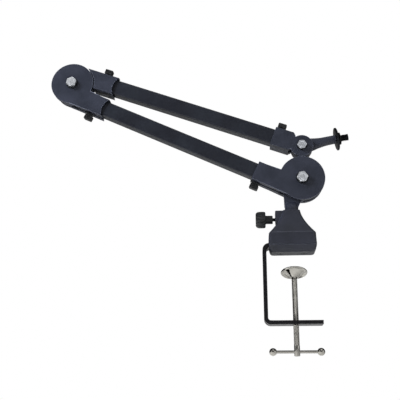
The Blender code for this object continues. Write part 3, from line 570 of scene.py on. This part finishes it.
def build_clamp_screw():
    ball, centre = BALL_RADIUS, PAD_CENTRE_Z
    profile = [(0.3, centre + 5.0), (BALL_STUB - 0.3, centre + 5.0), (BALL_STUB, centre + 4.7),
               (BALL_STUB, centre + 3.05)]
    for step in range(15):
        a = math.radians(62 - 110 * step / 14)
        profile.append((ball * math.cos(a), centre + ball * math.sin(a)))
    shank_top = centre - 4.4
    profile += [(BALL_NECK, centre - 2.7), (BALL_NECK, shank_top), (SCREW_RADIUS - 0.5, shank_top - 0.01),
                (SCREW_RADIUS - 0.1, shank_top - 0.4)]
    lower = thread_profile(SCREW_RADIUS, 0.28, SCREW_PITCH, TBAR_Z + 7.0, shank_top - 0.5)
    profile += lower[::-1]
    profile += [(SCREW_RADIUS, TBAR_Z + 6.8), (SCREW_RADIUS, SCREW_BOTTOM_Z + 0.9),
                (SCREW_RADIUS - 0.3, SCREW_BOTTOM_Z + 0.3), (SCREW_RADIUS - 0.9, SCREW_BOTTOM_Z),
                (0.3, SCREW_BOTTOM_Z)]
    hole = move(rod(TBAR_RADIUS + 0.35, -10, 10, "X"), z=TBAR_Z)
    piece("screw", turned(profile, 40), "screw_steel", "screw", ["clamp_screw"], cuts=[hole])


def build_tommy_bar():
    bar = turned([(0.3, -28.2), (1.6, -28.2), (TBAR_RADIUS, -27.8), (TBAR_RADIUS, 27.8), (1.6, 28.2),
                  (0.3, 28.2)], 40, "X")
    piece("bar", move(bar, z=TBAR_Z), "screw_steel", "tommy_bar", ["t_bar"])
    bore, steps = TBAR_RADIUS + GAP, 28
    mouth = math.sqrt(TBAR_BALL_RADIUS ** 2 - bore ** 2)
    first = math.degrees(math.atan2(bore, mouth))
    profile = [(0.2, -1.4), (bore, -1.4)]
    for i in range(steps):
        angle = math.radians(180 - first - (177 - first) * i / (steps - 1))
        profile.append((TBAR_BALL_RADIUS * math.sin(angle), TBAR_BALL_RADIUS * math.cos(angle)))
    for side, sign in (("left", -1), ("right", 1)):
        ball = turned([(r, sign * x) for r, x in profile], 48, "X")
        piece(f"ball_{side}", move(ball, sign * TBAR_BALL_X, z=TBAR_Z), "nickel_plate", "tommy_bar",
              [f"t_bar_ball_{side}"])


# ---- thumbscrew ----------------------------------------------------------------------------------
def grip(radius, depth, lobes):
    """Radius by angle of a scalloped grip: broad ribs between narrow flutes."""
    def shape(angle):
        wave = 0.5 - 0.5 * math.cos(lobes * angle)
        return radius - depth * (1.0 - wave) ** 2
    return shape


def build_thumbscrew():
    lobes = 12
    stations = [(0.4, 0.0, -47.2), (5.2, 0.0, -47.3), (5.8, 0.0, -47.9), (6.6, 0.0, -48.3),
                (7.6, 0.1, -48.35), (8.8, 0.35, -47.9), (9.8, 0.7, -47.1), (10.6, 1.0, -45.8),
                (11.0, 1.2, -44.0), (11.1, 1.25, -40.0), (11.0, 1.2, -37.2), (10.7, 1.0, -36.2),
                (10.1, 0.6, -35.5), (9.2, 0.2, -35.25), (6.4, 0.0, -35.2), (5.8, 0.0, -34.9),
                (5.6, 0.0, -34.2), (5.6, 0.0, -26.6), (5.4, 0.0, -26.0), (4.9, 0.0, -25.7),
                (3.0, 0.0, -25.7)]
    profile = [(grip(r, depth, lobes), x) for r, depth, x in stations]
    knob = turned(profile, lobes * 12, "X")
    bore = move(rod(2.65, -44, -20, "X"), z=THUMB_Z)
    piece("knob", move(knob, z=THUMB_Z), "knob_plastic", "thumbscrew", ["thumbscrew_knob"], cuts=[bore])
    shank = [(0.3, -43.0), (2.3, -43.0)] + thread_profile(2.35, 0.4, 0.8, -42.9, -10.6) + [(0.3, -10.4)]
    piece("thumb_thread", move(turned(shank, 32, "X"), z=THUMB_Z), "black_steel", "thumbscrew",
          ["thumbscrew_shank"])
    tip = turned([(0.2, -10.0), (2.1, -10.0), (2.3, -9.7), (2.3, -8.4), (1.9, -7.7), (1.4, -7.4),
                  (0.2, -7.35)], 32, "X")
    piece("thumb_tip_pad", move(tip, z=THUMB_Z), "nylon", "thumb_tip", ["thumbscrew_tip"])


# ---- pivot post ----------------------------------------------------------------------------------
def ellipse_ring(half_x, half_y, z, segments=64):
    step = 2 * math.pi / segments
    return [(half_x * math.cos(step * i), half_y * math.sin(step * i), z) for i in range(segments)]


def lug_outline(root_z):
    x, z = BASE.x, BASE.z
    left = arc(x, z, LUG_RADIUS, -78, 184, 110)
    return left + [(-NECK_HALF_WIDTH, root_z + 4), (-NECK_HALF_WIDTH + 0.8, root_z),
                   (NECK_HALF_WIDTH - 0.8, root_z), (NECK_HALF_WIDTH, root_z + 4),
                   (NECK_HALF_WIDTH + 2.6, root_z + 9)]


def build_pivot_post():
    collar = BLOCK_TOP_Z + GAP
    stations = [(POST_RADIUS - 0.8, 17.0), (POST_RADIUS - 0.2, 17.3), (POST_RADIUS, 17.9),
                (POST_RADIUS, collar), (8.3, collar + 0.01), (8.75, collar + 0.4)]
    rings = [ellipse_ring(r, r, z) for r, z in stations]
    neck = [(8.8, 8.8, 58.4), (8.9, 8.9, 61.5), (9.1, 8.0, 65.0), (9.3, 5.6, 68.0), (9.0, 3.2, 70.5)]
    rings += [ellipse_ring(*row) for row in smooth_path(neck, 6)]
    lug = prism(lug_outline(60.5), -TONGUE_HALF, TONGUE_HALF, (0.5, 0.5))
    bore = move(rod(BOLT_RADIUS + GAP, -30, 30, "Y"), BASE.x, 0, BASE.z)
    piece("post", loft(rings), "moulded_black", "post", ["pivot_post"], joins=[lug], cuts=[bore])


# ---- fittings ------------------------------------------------------------------------------------
def long_ended_arc(cx, cz, radius, start, stop, steps, first, last):
    """An arc whose end chords are long enough for the edge rounding at a sharp corner."""
    way = 1 if stop > start else -1
    middle = arc(cx, cz, radius, start + way * first, stop - way * last, steps)
    return arc(cx, cz, radius, start, start, 1)[:1] + middle + arc(cx, cz, radius, stop, stop, 1)[:1]


def scallop(reach, low, high, steps=16):
    half = (high - low) / 2
    radius = (half ** 2 + SLEEVE_SCALLOP ** 2) / (2 * SLEEVE_SCALLOP)
    spread = math.degrees(math.asin(half / radius))
    return long_ended_arc(reach - SLEEVE_SCALLOP + radius, (low + high) / 2, radius,
                          180 + spread, 180 - spread, steps, 9.0, 9.0)


def hub_outline(radius, low, high, end_points, steps=120):
    upper = math.degrees(math.asin(high / radius))
    lower = math.degrees(math.asin(low / radius))
    return arc(0, 0, radius, upper, 360 + lower, steps) + end_points


def place_end(bm, x0, direction):
    if direction < 0:
        bmesh.ops.scale(bm, vec=(-1, 1, 1), verts=bm.verts)
        bmesh.ops.reverse_faces(bm, faces=bm.faces)
    return move(bm, x0)


def sided(low, high, side):
    return (low, high) if side > 0 else (-high, -low)


def half_prism(outline, side, depth=FITTING_HALF_DEPTH, bevel=1.0):
    """A half fitting: its outer face has rounded edges, its parting face is crisp."""
    y0, y1 = sided(0.2, depth, side)
    return prism(outline, y0, y1, (0.0, bevel) if side > 0 else (bevel, 0.0))


def sleeve_cuts(offset, start, side):
    depth = TUBE_DEPTH / 2
    high = offset + SLEEVE_HALF_HEIGHT
    half = TUBE_HEIGHT / 2
    far = SLEEVE_REACH + 20
    yield box(start, far, *sided(-1, depth + GAP, side), offset - half - GAP, offset + half + GAP)
    yield box(SLEEVE_REACH - 10, far, *sided(-1, depth + SLEEVE_MOUTH_DEPTH, side),
              offset - half - SLEEVE_MOUTH_HEIGHT, offset + half + SLEEVE_MOUTH_HEIGHT)
    yield box(-60, far, *sided(-1, 3.0, side), high - 3.1, high + 5)


def pivot_hole(radius, x0):
    return move(rod(radius + GAP, -30, 30, "Y"), x0)


def build_forks():
    low, high = LOWER_OFFSET - SLEEVE_HALF_HEIGHT, LOWER_OFFSET + SLEEVE_HALF_HEIGHT
    ends = {"base": (0, 1, [(SLEEVE_REACH, low), (SLEEVE_REACH, high)]),
            "elbow": (LOWER_LENGTH, -1, scallop(SLEEVE_REACH, low, high))}
    for where, (x0, direction, end) in ends.items():
        rear = BASE_REAR_RADIUS if direction > 0 else ELBOW_REAR_RADIUS
        for face, side in (("front", -1), ("rear", 1)):
            outline = hub_outline(HUB_RADIUS if side < 0 else rear, low, high, end)
            body = place_end(half_prism(outline, side), x0, direction)
            slot = rod(SLOT_RADIUS, *sided(-1, CHEEK_INNER, side), "Y", 96)
            cuts = [place_end(slot, x0, direction), pivot_hole(BOLT_RADIUS, x0)]
            cuts += [place_end(c, x0, direction) for c in sleeve_cuts(LOWER_OFFSET, 30.0, side)]
            piece(f"{where}_cheek_{face}", body, "moulded_black", "lower_arm",
                  [f"{where}_fork_{face}"], place=LOWER, cuts=cuts)


def build_tongues():
    low, high = UPPER_OFFSET - SLEEVE_HALF_HEIGHT, UPPER_OFFSET + SLEEVE_HALF_HEIGHT
    clear = HUB_RADIUS + 1.6
    top, bottom = (math.degrees(math.asin(h / clear)) for h in (high, low))
    outline = long_ended_arc(0, 0, clear, top, bottom, 20, 9.0, 3.0) + scallop(SLEEVE_REACH, low, high)
    root = [(40.0, low + 0.6), (40.0, high - 1.4)]
    plate = hub_outline(HUB_RADIUS - 1.5, low + 0.6, high - 1.4, root)
    for face, side in (("front", -1), ("rear", 1)):
        tongue = half_prism(plate, side, TONGUE_HALF, 0.4)
        cuts = list(sleeve_cuts(UPPER_OFFSET, 38.0, side)) + [pivot_hole(BOLT_RADIUS, 0)]
        piece(f"elbow_sleeve_{face}", half_prism(outline, side), "moulded_black", "upper_arm",
              [f"elbow_tongue_{face}"], place=UPPER, joins=[tongue], cuts=cuts)


def build_head_forks():
    offset = UPPER_OFFSET - HEAD_Z
    low, high = offset - SLEEVE_HALF_HEIGHT, offset + SLEEVE_HALF_HEIGHT
    start = HEAD_SLEEVE_START
    place = UPPER @ Matrix.Translation((HEAD_X, 0, HEAD_Z))
    for face, side in (("front", -1), ("rear", 1)):
        radius = HEAD_HUB_RADIUS if side < 0 else HEAD_HUB_REAR_RADIUS
        meet = math.sqrt(radius ** 2 - start ** 2)
        angle = math.degrees(math.asin(meet / radius))
        outline = long_ended_arc(0, 0, radius, angle, 360 - angle, 72, 6.0, 6.0)
        if low + HEAD_CHAMFER < -meet - 1.0:
            outline.append((start, low + HEAD_CHAMFER))
        outline += [(start + HEAD_CHAMFER, low), (HEAD_SLEEVE_REACH, low),
                    (HEAD_SLEEVE_REACH, high), (start + HEAD_CHAMFER, high),
                    (start, high - HEAD_CHAMFER)]
        body = place_end(half_prism(outline, side, bevel=0.8), 0, -1)
        half = TUBE_HEIGHT / 2 + GAP
        room = box(15.0, 80.0, *sided(-1, TUBE_DEPTH / 2 + GAP, side), offset - half, offset + half)
        cuts = [rod(HEAD_SLOT_RADIUS, *sided(-1, CHEEK_INNER, side), "Y", 72), place_end(room, 0, -1),
                pivot_hole(HEAD_BOLT_RADIUS, 0)]
        piece(f"head_cheek_{face}", body, "moulded_black", "upper_arm", [f"head_fork_{face}"],
              place=place, cuts=cuts)


# ---- tubes and springs ---------------------------------------------------------------------------
def build_tube(arm, place, start, end, offset):
    outer = rounded_rectangle(TUBE_DEPTH / 2, TUBE_HEIGHT / 2, TUBE_CORNER)
    inner = rounded_rectangle(TUBE_DEPTH / 2 - TUBE_WALL, TUBE_HEIGHT / 2 - TUBE_WALL,
                              TUBE_CORNER - TUBE_WALL)
    rings = []
    for section, x in ((inner, start), (outer, start), (outer, end), (inner, end)):
        rings.append([(x, y, offset + z) for y, z in section])
    piece(f"{arm}_box_tube", loft(rings, loop=True), "arm_paint", f"{arm}_arm", [f"{arm}_tube"],
          place=place, flat_area=500.0)


def build_spring(arm, place, start, end, offset):
    """Close-wound coil of round wire, swept as one closed tube."""
    radius, wire, sides, per_turn = 3.65, 0.5, 8, 20
    turns = int((end - start - 2 * wire) / 1.15)
    rings = []
    for i in range(turns * per_turn + 1):
        a = 2 * math.pi * i / per_turn
        x = start + wire + (end - start - 2 * wire) * i / (turns * per_turn)
        out = Vector((0, math.cos(a), math.sin(a)))
        centre = Vector((x, 0, offset)) + radius * out
        rings.append([centre + wire * (math.cos(b) * out + math.sin(b) * Vector((1, 0, 0)))
                      for b in (2 * math.pi * k / sides for k in range(sides))])
    piece(f"{arm}_coil", loft(rings), "spring_steel", f"{arm}_arm", [f"{arm}_spring"], place=place,
          sharp=60.0)


# ---- pivot fasteners -----------------------------------------------------------------------------
def build_pivot_hardware(prefix, body, place, radius, flats, washer_outer, friction_outer, twist):
    head = hex_head(flats, BOLT_BEARING_Y, BOLT_CROWN_Y)
    threads = thread_profile(radius, 0.5, 1.25, 9.0, SHANK_END_Y - 0.2)
    shank = [(radius, BOLT_BEARING_Y + 0.1), (radius, 8.9)]
    bolt = turned(head + shank + threads + [(0.4, SHANK_END_Y)], 96, "Y")
    turn = Matrix.Rotation(math.radians(twist), 4, "Y")
    piece(f"{prefix}_screw_head", bolt, "bright_zinc", body, [f"{prefix}_bolt"], place=place @ turn)
    piece(f"{prefix}_head_washer", eased_ring(radius + GAP, washer_outer, *BOLT_WASHER_Y, "Y"),
          "black_steel", body, [f"{prefix}_bolt_washer"], place=place)
    inner = radius + GAP
    nut = [(inner, NUT_BEARING_Y + 0.1), (inner + 0.3, NUT_BEARING_Y)]
    nut += hex_head(flats, NUT_BEARING_Y, NUT_HEX_END_Y)[:4:-1]
    nut += [(flats * 0.44, NUT_HEX_END_Y), (flats * 0.42, NUT_HEX_END_Y + 0.7),
            (flats * 0.38, NUT_END_Y - 0.1), (flats * 0.34, NUT_END_Y),
            (inner + 0.2, NUT_END_Y), (inner, NUT_END_Y - 0.2)]
    piece(f"{prefix}_lock_nut", turned(nut, 96, "Y", hollow=True), "bright_zinc", body,
          [f"{prefix}_nut"], place=place)
    for face, sign in (("front", -1), ("rear", 1)):
        y0, y1 = sided(TONGUE_HALF + GAP, CHEEK_INNER - GAP, sign)
        piece(f"{prefix}_friction_{face}", eased_ring(inner, friction_outer, y0, y1, "Y"), "nylon",
              body, [f"{prefix}_washer_{face}"], place=place)


# ---- cable clips ---------------------------------------------------------------------------------
def build_clip(name, node, body, place, x, surface):
    """A ribbed snap block on a short neck and a foot, standing on the sleeve's outer edge."""
    ribs, pitch, groove, half_y, steps = 4, 2.9, 0.8, 4.2, 6
    length = ribs * pitch
    section = []
    for i in range(ribs * steps):
        a = -length / 2 + 0.3 + (length - 0.6) * i / (ribs * steps - 1)
        wave = abs(math.sin(math.pi * (a + length / 2) / pitch)) ** 0.6
        section.append((a, -half_y + groove * (1.0 - wave)))
    section += [(length / 2, -half_y + 1.2), (length / 2, half_y - 0.8), (length / 2 - 0.3, half_y - 0.3),
                (length / 2 - 0.8, half_y), (-length / 2 + 0.8, half_y), (-length / 2 + 0.3, half_y - 0.3),
                (-length / 2, half_y - 0.8), (-length / 2, -half_y + 1.2)]
    rings = []
    for z, shrink in ((4.0, 0.93), (4.4, 1.0), (9.6, 1.0), (10.1, 0.97), (10.4, 0.9)):
        rings.append([(x + a * shrink, b * shrink, surface + z) for a, b in section])
    foot = box(x - 6.2, x + 7.4, -3.6, 3.6, surface + GAP, surface + 2.0)
    bevel_edges(foot, lambda e: True, 0.35, 2)
    neck = box(x - 4.2, x + 4.2, -2.4, 2.4, surface + 1.2, surface + 5.0)
    piece(name, loft(rings), "knob_plastic", body, [node], place=place, joins=[foot, neck])


# ---- head ----------------------------------------------------------------------------------------
def stem_section(x, z, half_height, half_depth, tilt, segments=48):
    """A soft-cornered oval across the stem."""
    lean, points = math.radians(tilt), []
    for i in range(segments):
        a = 2 * math.pi * i / segments
        up = half_height * math.copysign(abs(math.sin(a)) ** 0.8, math.sin(a))
        out = half_depth * math.copysign(abs(math.cos(a)) ** 0.8, math.cos(a))
        points.append((x - up * math.sin(lean), out, z + up * math.cos(lean)))
    return points


def build_head():
    lug = [(HEAD_LUG_RADIUS - 0.5, -TONGUE_HALF), (HEAD_LUG_RADIUS, -TONGUE_HALF + 0.5),
           (HEAD_LUG_RADIUS, TONGUE_HALF - 0.5), (HEAD_LUG_RADIUS - 0.5, TONGUE_HALF)]
    stations = [(7.0, 3.8, 10.4, 3.5, 0), (15.6, 5.0, 8.9, 3.7, 2), (21.5, 6.4, 7.5, 4.4, 5),
                (28.0, 7.9, 6.4, 5.2, 8), (34.5, 9.4, 5.9, 5.7, STUD_TILT),
                (STUD_ORIGIN[0], STUD_ORIGIN[1], 5.7, 5.8, STUD_TILT)]
    stem = loft([stem_section(*row) for row in smooth_path(stations, 8)])
    bore = rod(STUD_RADIUS + GAP, -9, 5, "X")
    bmesh.ops.transform(bore, matrix=HEAD_FRAME.inverted() @ STUD, verts=bore.verts)
    piece("stem", turned(lug, 96, "Y"), "moulded_black", "head", ["stud_arm"], place=HEAD_FRAME,
          joins=[stem], cuts=[pivot_hole(HEAD_BOLT_RADIUS, 0), bore])
    stud = [(0.3, -8.6), (STUD_RADIUS, -8.6), (STUD_RADIUS, 0.0)]
    stud += thread_profile(STUD_RADIUS, 0.8, STUD_PITCH, 0.1, 17.6) + [(2.9, 17.9), (0.3, 18.0)]
    piece("stud", turned(stud, 48, "X"), "black_steel", "head", ["holder_stud"], place=STUD)
    bore_r, knurls = STUD_RADIUS + GAP, 60

    def knurl(radius):
        return lambda angle: radius - 0.35 * abs(math.sin(knurls * angle / 2))

    ring = [(bore_r, 0.7), (bore_r + 0.3, 0.4), (14.2, 0.4), (14.9, 0.6), (knurl(15.5), 1.0),
            (knurl(15.7), 1.3), (knurl(15.7), 2.5), (knurl(15.5), 2.8), (14.9, 3.2), (14.2, 3.4),
            (13.2, 3.4), (12.9, 3.1), (8.4, 3.1), (7.6, 3.3), (7.2, 3.8), (7.1, 5.0), (6.9, 5.2),
            (bore_r + 0.3, 5.2), (bore_r, 4.9)]
    piece("knurled_ring", turned(ring, knurls * 4, "X", hollow=True), "black_steel", "ring",
          ["lock_ring"], place=STUD)
    piece("rubber_seat", eased_ring(bore_r, 8.4, 5.5, 7.0, "X", ease=0.25), "soft_rubber", "seat",
          ["seat_washer"], place=STUD)


# ---- the whole stand -----------------------------------------------------------------------------
def build_clamp():
    build_strap()
    build_socket_block()
    build_jaw_shell()
    build_jaw_screws()
    build_socket_liner()
    build_pad()
    build_clamp_screw()
    build_tommy_bar()
    build_thumbscrew()
    build_pivot_post()


def build_arms():
    build_forks()
    build_tongues()
    build_head_forks()
    build_tube("lower", LOWER, 37.8, LOWER_LENGTH - 37.8, LOWER_OFFSET)
    build_tube("upper", UPPER, 38.4, HEAD_X - 20.0, UPPER_OFFSET)
    build_spring("lower", LOWER, SPRING_START, LOWER_SPRING_END, LOWER_OFFSET)
    build_spring("upper", UPPER, SPRING_START, UPPER_SPRING_END, UPPER_OFFSET)
    elbow = LOWER @ Matrix.Translation((LOWER_LENGTH, 0, 0))
    head = UPPER @ Matrix.Translation((HEAD_X, 0, HEAD_Z))
    build_pivot_hardware("base", "lower_arm", LOWER, BOLT_RADIUS, BOLT_FLATS, 8.2, 19.0, 0)
    build_pivot_hardware("elbow", "lower_arm", elbow, BOLT_RADIUS, BOLT_FLATS, 8.2, 19.0, -13)
    build_pivot_hardware("head", "upper_arm", head, HEAD_BOLT_RADIUS, HEAD_BOLT_FLATS, 6.6, 12.0, 9)
    lower_edge = LOWER_OFFSET + SLEEVE_HALF_HEIGHT
    upper_edge = UPPER_OFFSET + SLEEVE_HALF_HEIGHT
    build_clip("clip_base", "cable_clip_base", "lower_arm", LOWER, 55.6, lower_edge)
    build_clip("clip_lower_elbow", "cable_clip_lower_elbow", "lower_arm", LOWER,
               LOWER_LENGTH - 42.5, lower_edge)
    build_clip("clip_upper_elbow", "cable_clip_upper_elbow", "upper_arm", UPPER, 41.0, upper_edge)
    build_clip("clip_head", "cable_clip_head", "upper_arm", UPPER, HEAD_X - 34.8, upper_edge)


def dress_kept_nodes():
    """CAD nodes that stay in view get the material of their slot."""
    for part in frame["record"]["subparts"]:
        node = frame["nodes"][part["node"]]
        if not node.hide_render:
            node.data.materials.clear()
            node.data.materials.append(MATERIALS[part["material_slot"]])


# ---- studio --------------------------------------------------------------------------------------
FLOOR_Z, FLOOR_HALF_SIZE = -0.30, 6.0
AMBIENT = 0.012
FLOOR_GLOW = 0.5    # what the camera alone sees the floor give off
CAMERA_PLACE, CAMERA_YAW, CAMERA_PITCH = (-0.0509, -0.897, -0.1869), 4.6, 16.3
CAMERA_LENS, CAMERA_SENSOR = 62.1, 36.0


def build_floor():
    bm = bmesh.new()
    bmesh.ops.create_grid(bm, x_segments=8, y_segments=8, size=FLOOR_HALF_SIZE)
    bmesh.ops.translate(bm, verts=bm.verts, vec=(0, 0, FLOOR_Z))
    mesh = bpy.data.meshes.new("floor")
    bm.to_mesh(mesh)
    bm.free()
    n = Nodes("pale_floor")
    n.link(n.mix(n.remap(n.noise(3.0), 0.0, 1.0), colour((238, 238, 238)), colour((244, 244, 243))),
           n.shader.inputs["Base Color"])
    n.shader.inputs["Roughness"].default_value = 0.7
    path = n.tree.nodes.new("ShaderNodeLightPath")
    glow = n.remap(path.outputs["Is Camera Ray"], 0.0, FLOOR_GLOW, 0.0, 1.0)
    n.link(glow, n.shader.inputs["Emission Strength"])
    n.shader.inputs["Emission Color"].default_value = colour((240, 240, 240))
    mesh.materials.append(n.material)
    floor = bpy.data.objects.new("floor", mesh)
    bpy.context.collection.objects.link(floor)


SOFTBOXES = (
    # direction, cosine where it begins, cosine where it is full, strength
    ((0.85, -0.50, 0.10), 0.86, 0.94, 1.9),
    ((-0.80, -0.55, 0.30), 0.93, 0.97, 1.5),
    ((0.10, -0.45, 0.90), 0.88, 0.96, 1.8),
    ((0.0, -1.0, 0.05), 0.70, 0.97, 0.30),
    ((0.0, 1.0, -0.2), 0.60, 0.95, 0.4),
)


def build_world():
    """A white sweep to the eye; as light, a dim room with a few soft boxes."""
    world = bpy.data.worlds.new("studio")
    bpy.context.scene.world = world
    world.use_nodes = True
    tree = world.node_tree
    tree.nodes.clear()
    out = tree.nodes.new("ShaderNodeOutputWorld")
    seen = tree.nodes.new("ShaderNodeBackground")
    seen.inputs["Color"].default_value = (1, 1, 1, 1)
    lit = tree.nodes.new("ShaderNodeBackground")
    path = tree.nodes.new("ShaderNodeLightPath")
    mix = tree.nodes.new("ShaderNodeMixShader")
    coords = tree.nodes.new("ShaderNodeTexCoord")
    total = None
    for direction, begins, full, strength in SOFTBOXES:
        dot = tree.nodes.new("ShaderNodeVectorMath")
        dot.operation = "DOT_PRODUCT"
        dot.inputs[1].default_value = Vector(direction).normalized()
        tree.links.new(coords.outputs["Generated"], dot.inputs[0])
        fall = tree.nodes.new("ShaderNodeMapRange")
        fall.interpolation_type = "SMOOTHSTEP"
        fall.inputs["From Min"].default_value = begins
        fall.inputs["From Max"].default_value = full
        fall.inputs["To Max"].default_value = strength
        tree.links.new(dot.outputs["Value"], fall.inputs["Value"])
        add = tree.nodes.new("ShaderNodeMath")
        add.inputs[1].default_value = AMBIENT
        if total:
            tree.links.new(total, add.inputs[1])
        tree.links.new(fall.outputs["Result"], add.inputs[0])
        total = add.outputs["Value"]
    tree.links.new(total, lit.inputs["Strength"])
    tree.links.new(path.outputs["Is Camera Ray"], mix.inputs["Fac"])
    tree.links.new(lit.outputs["Background"], mix.inputs[1])
    tree.links.new(seen.outputs["Background"], mix.inputs[2])
    tree.links.new(mix.outputs["Shader"], out.inputs["Surface"])


LIGHTS = (
    # name, place, what it faces, width and height in metres, watts
    ("key", (-0.95, -0.62, 0.75), (-0.22, 0, 0.2), (0.35, 0.35), 30.0),
    ("back", (0.4, 1.5, 1.2), (0.0, 0, 0.1), (1.2, 1.2), 14.0),
    ("fill", (1.3, -0.9, 0.5), (0.0, 0, 0.1), (0.9, 1.4), 1.8),
    ("under", (-0.1, -0.35, -0.28), (-0.1, 0.0, 0.1), (1.4, 0.4), 2.0),
    ("floor", (0.0, -0.5, 0.9), (0.0, -0.4, FLOOR_Z), (1.6, 0.8), 4.5),
)


def area_light(name, place, target, size, watts):
    """A soft light for the matt surfaces; bright metal mirrors the soft boxes instead."""
    data = bpy.data.lights.new(name, "AREA")
    data.shape = "RECTANGLE"
    data.size, data.size_y = size
    data.energy = watts
    light = bpy.data.objects.new(name, data)
    light.location = place
    light.rotation_euler = (Vector(target) - Vector(place)).to_track_quat("-Z", "Y").to_euler()
    light.visible_camera = False
    light.visible_glossy = False
    bpy.context.collection.objects.link(light)


def build_camera():
    """Below the arms and to the left, looking up; long enough to be nearly square-on."""
    data = bpy.data.cameras.new("view")
    data.sensor_width = CAMERA_SENSOR
    data.lens = CAMERA_LENS
    data.clip_end = 50.0
    camera = bpy.data.objects.new("view", data)
    camera.location = CAMERA_PLACE
    yaw, pitch = math.radians(CAMERA_YAW), math.radians(CAMERA_PITCH)
    level = math.cos(pitch)
    forward = Vector((-math.sin(yaw) * level, math.cos(yaw) * level, math.sin(pitch)))
    camera.rotation_euler = forward.to_track_quat("-Z", "Y").to_euler()
    bpy.context.collection.objects.link(camera)
    bpy.context.scene.camera = camera


build_camera()
build_clamp()
build_arms()
build_head()
dress_kept_nodes()
build_floor()
build_world()
bpy.context.scene.view_settings.view_transform = "Standard"
for light in LIGHTS:
    area_light(*light)
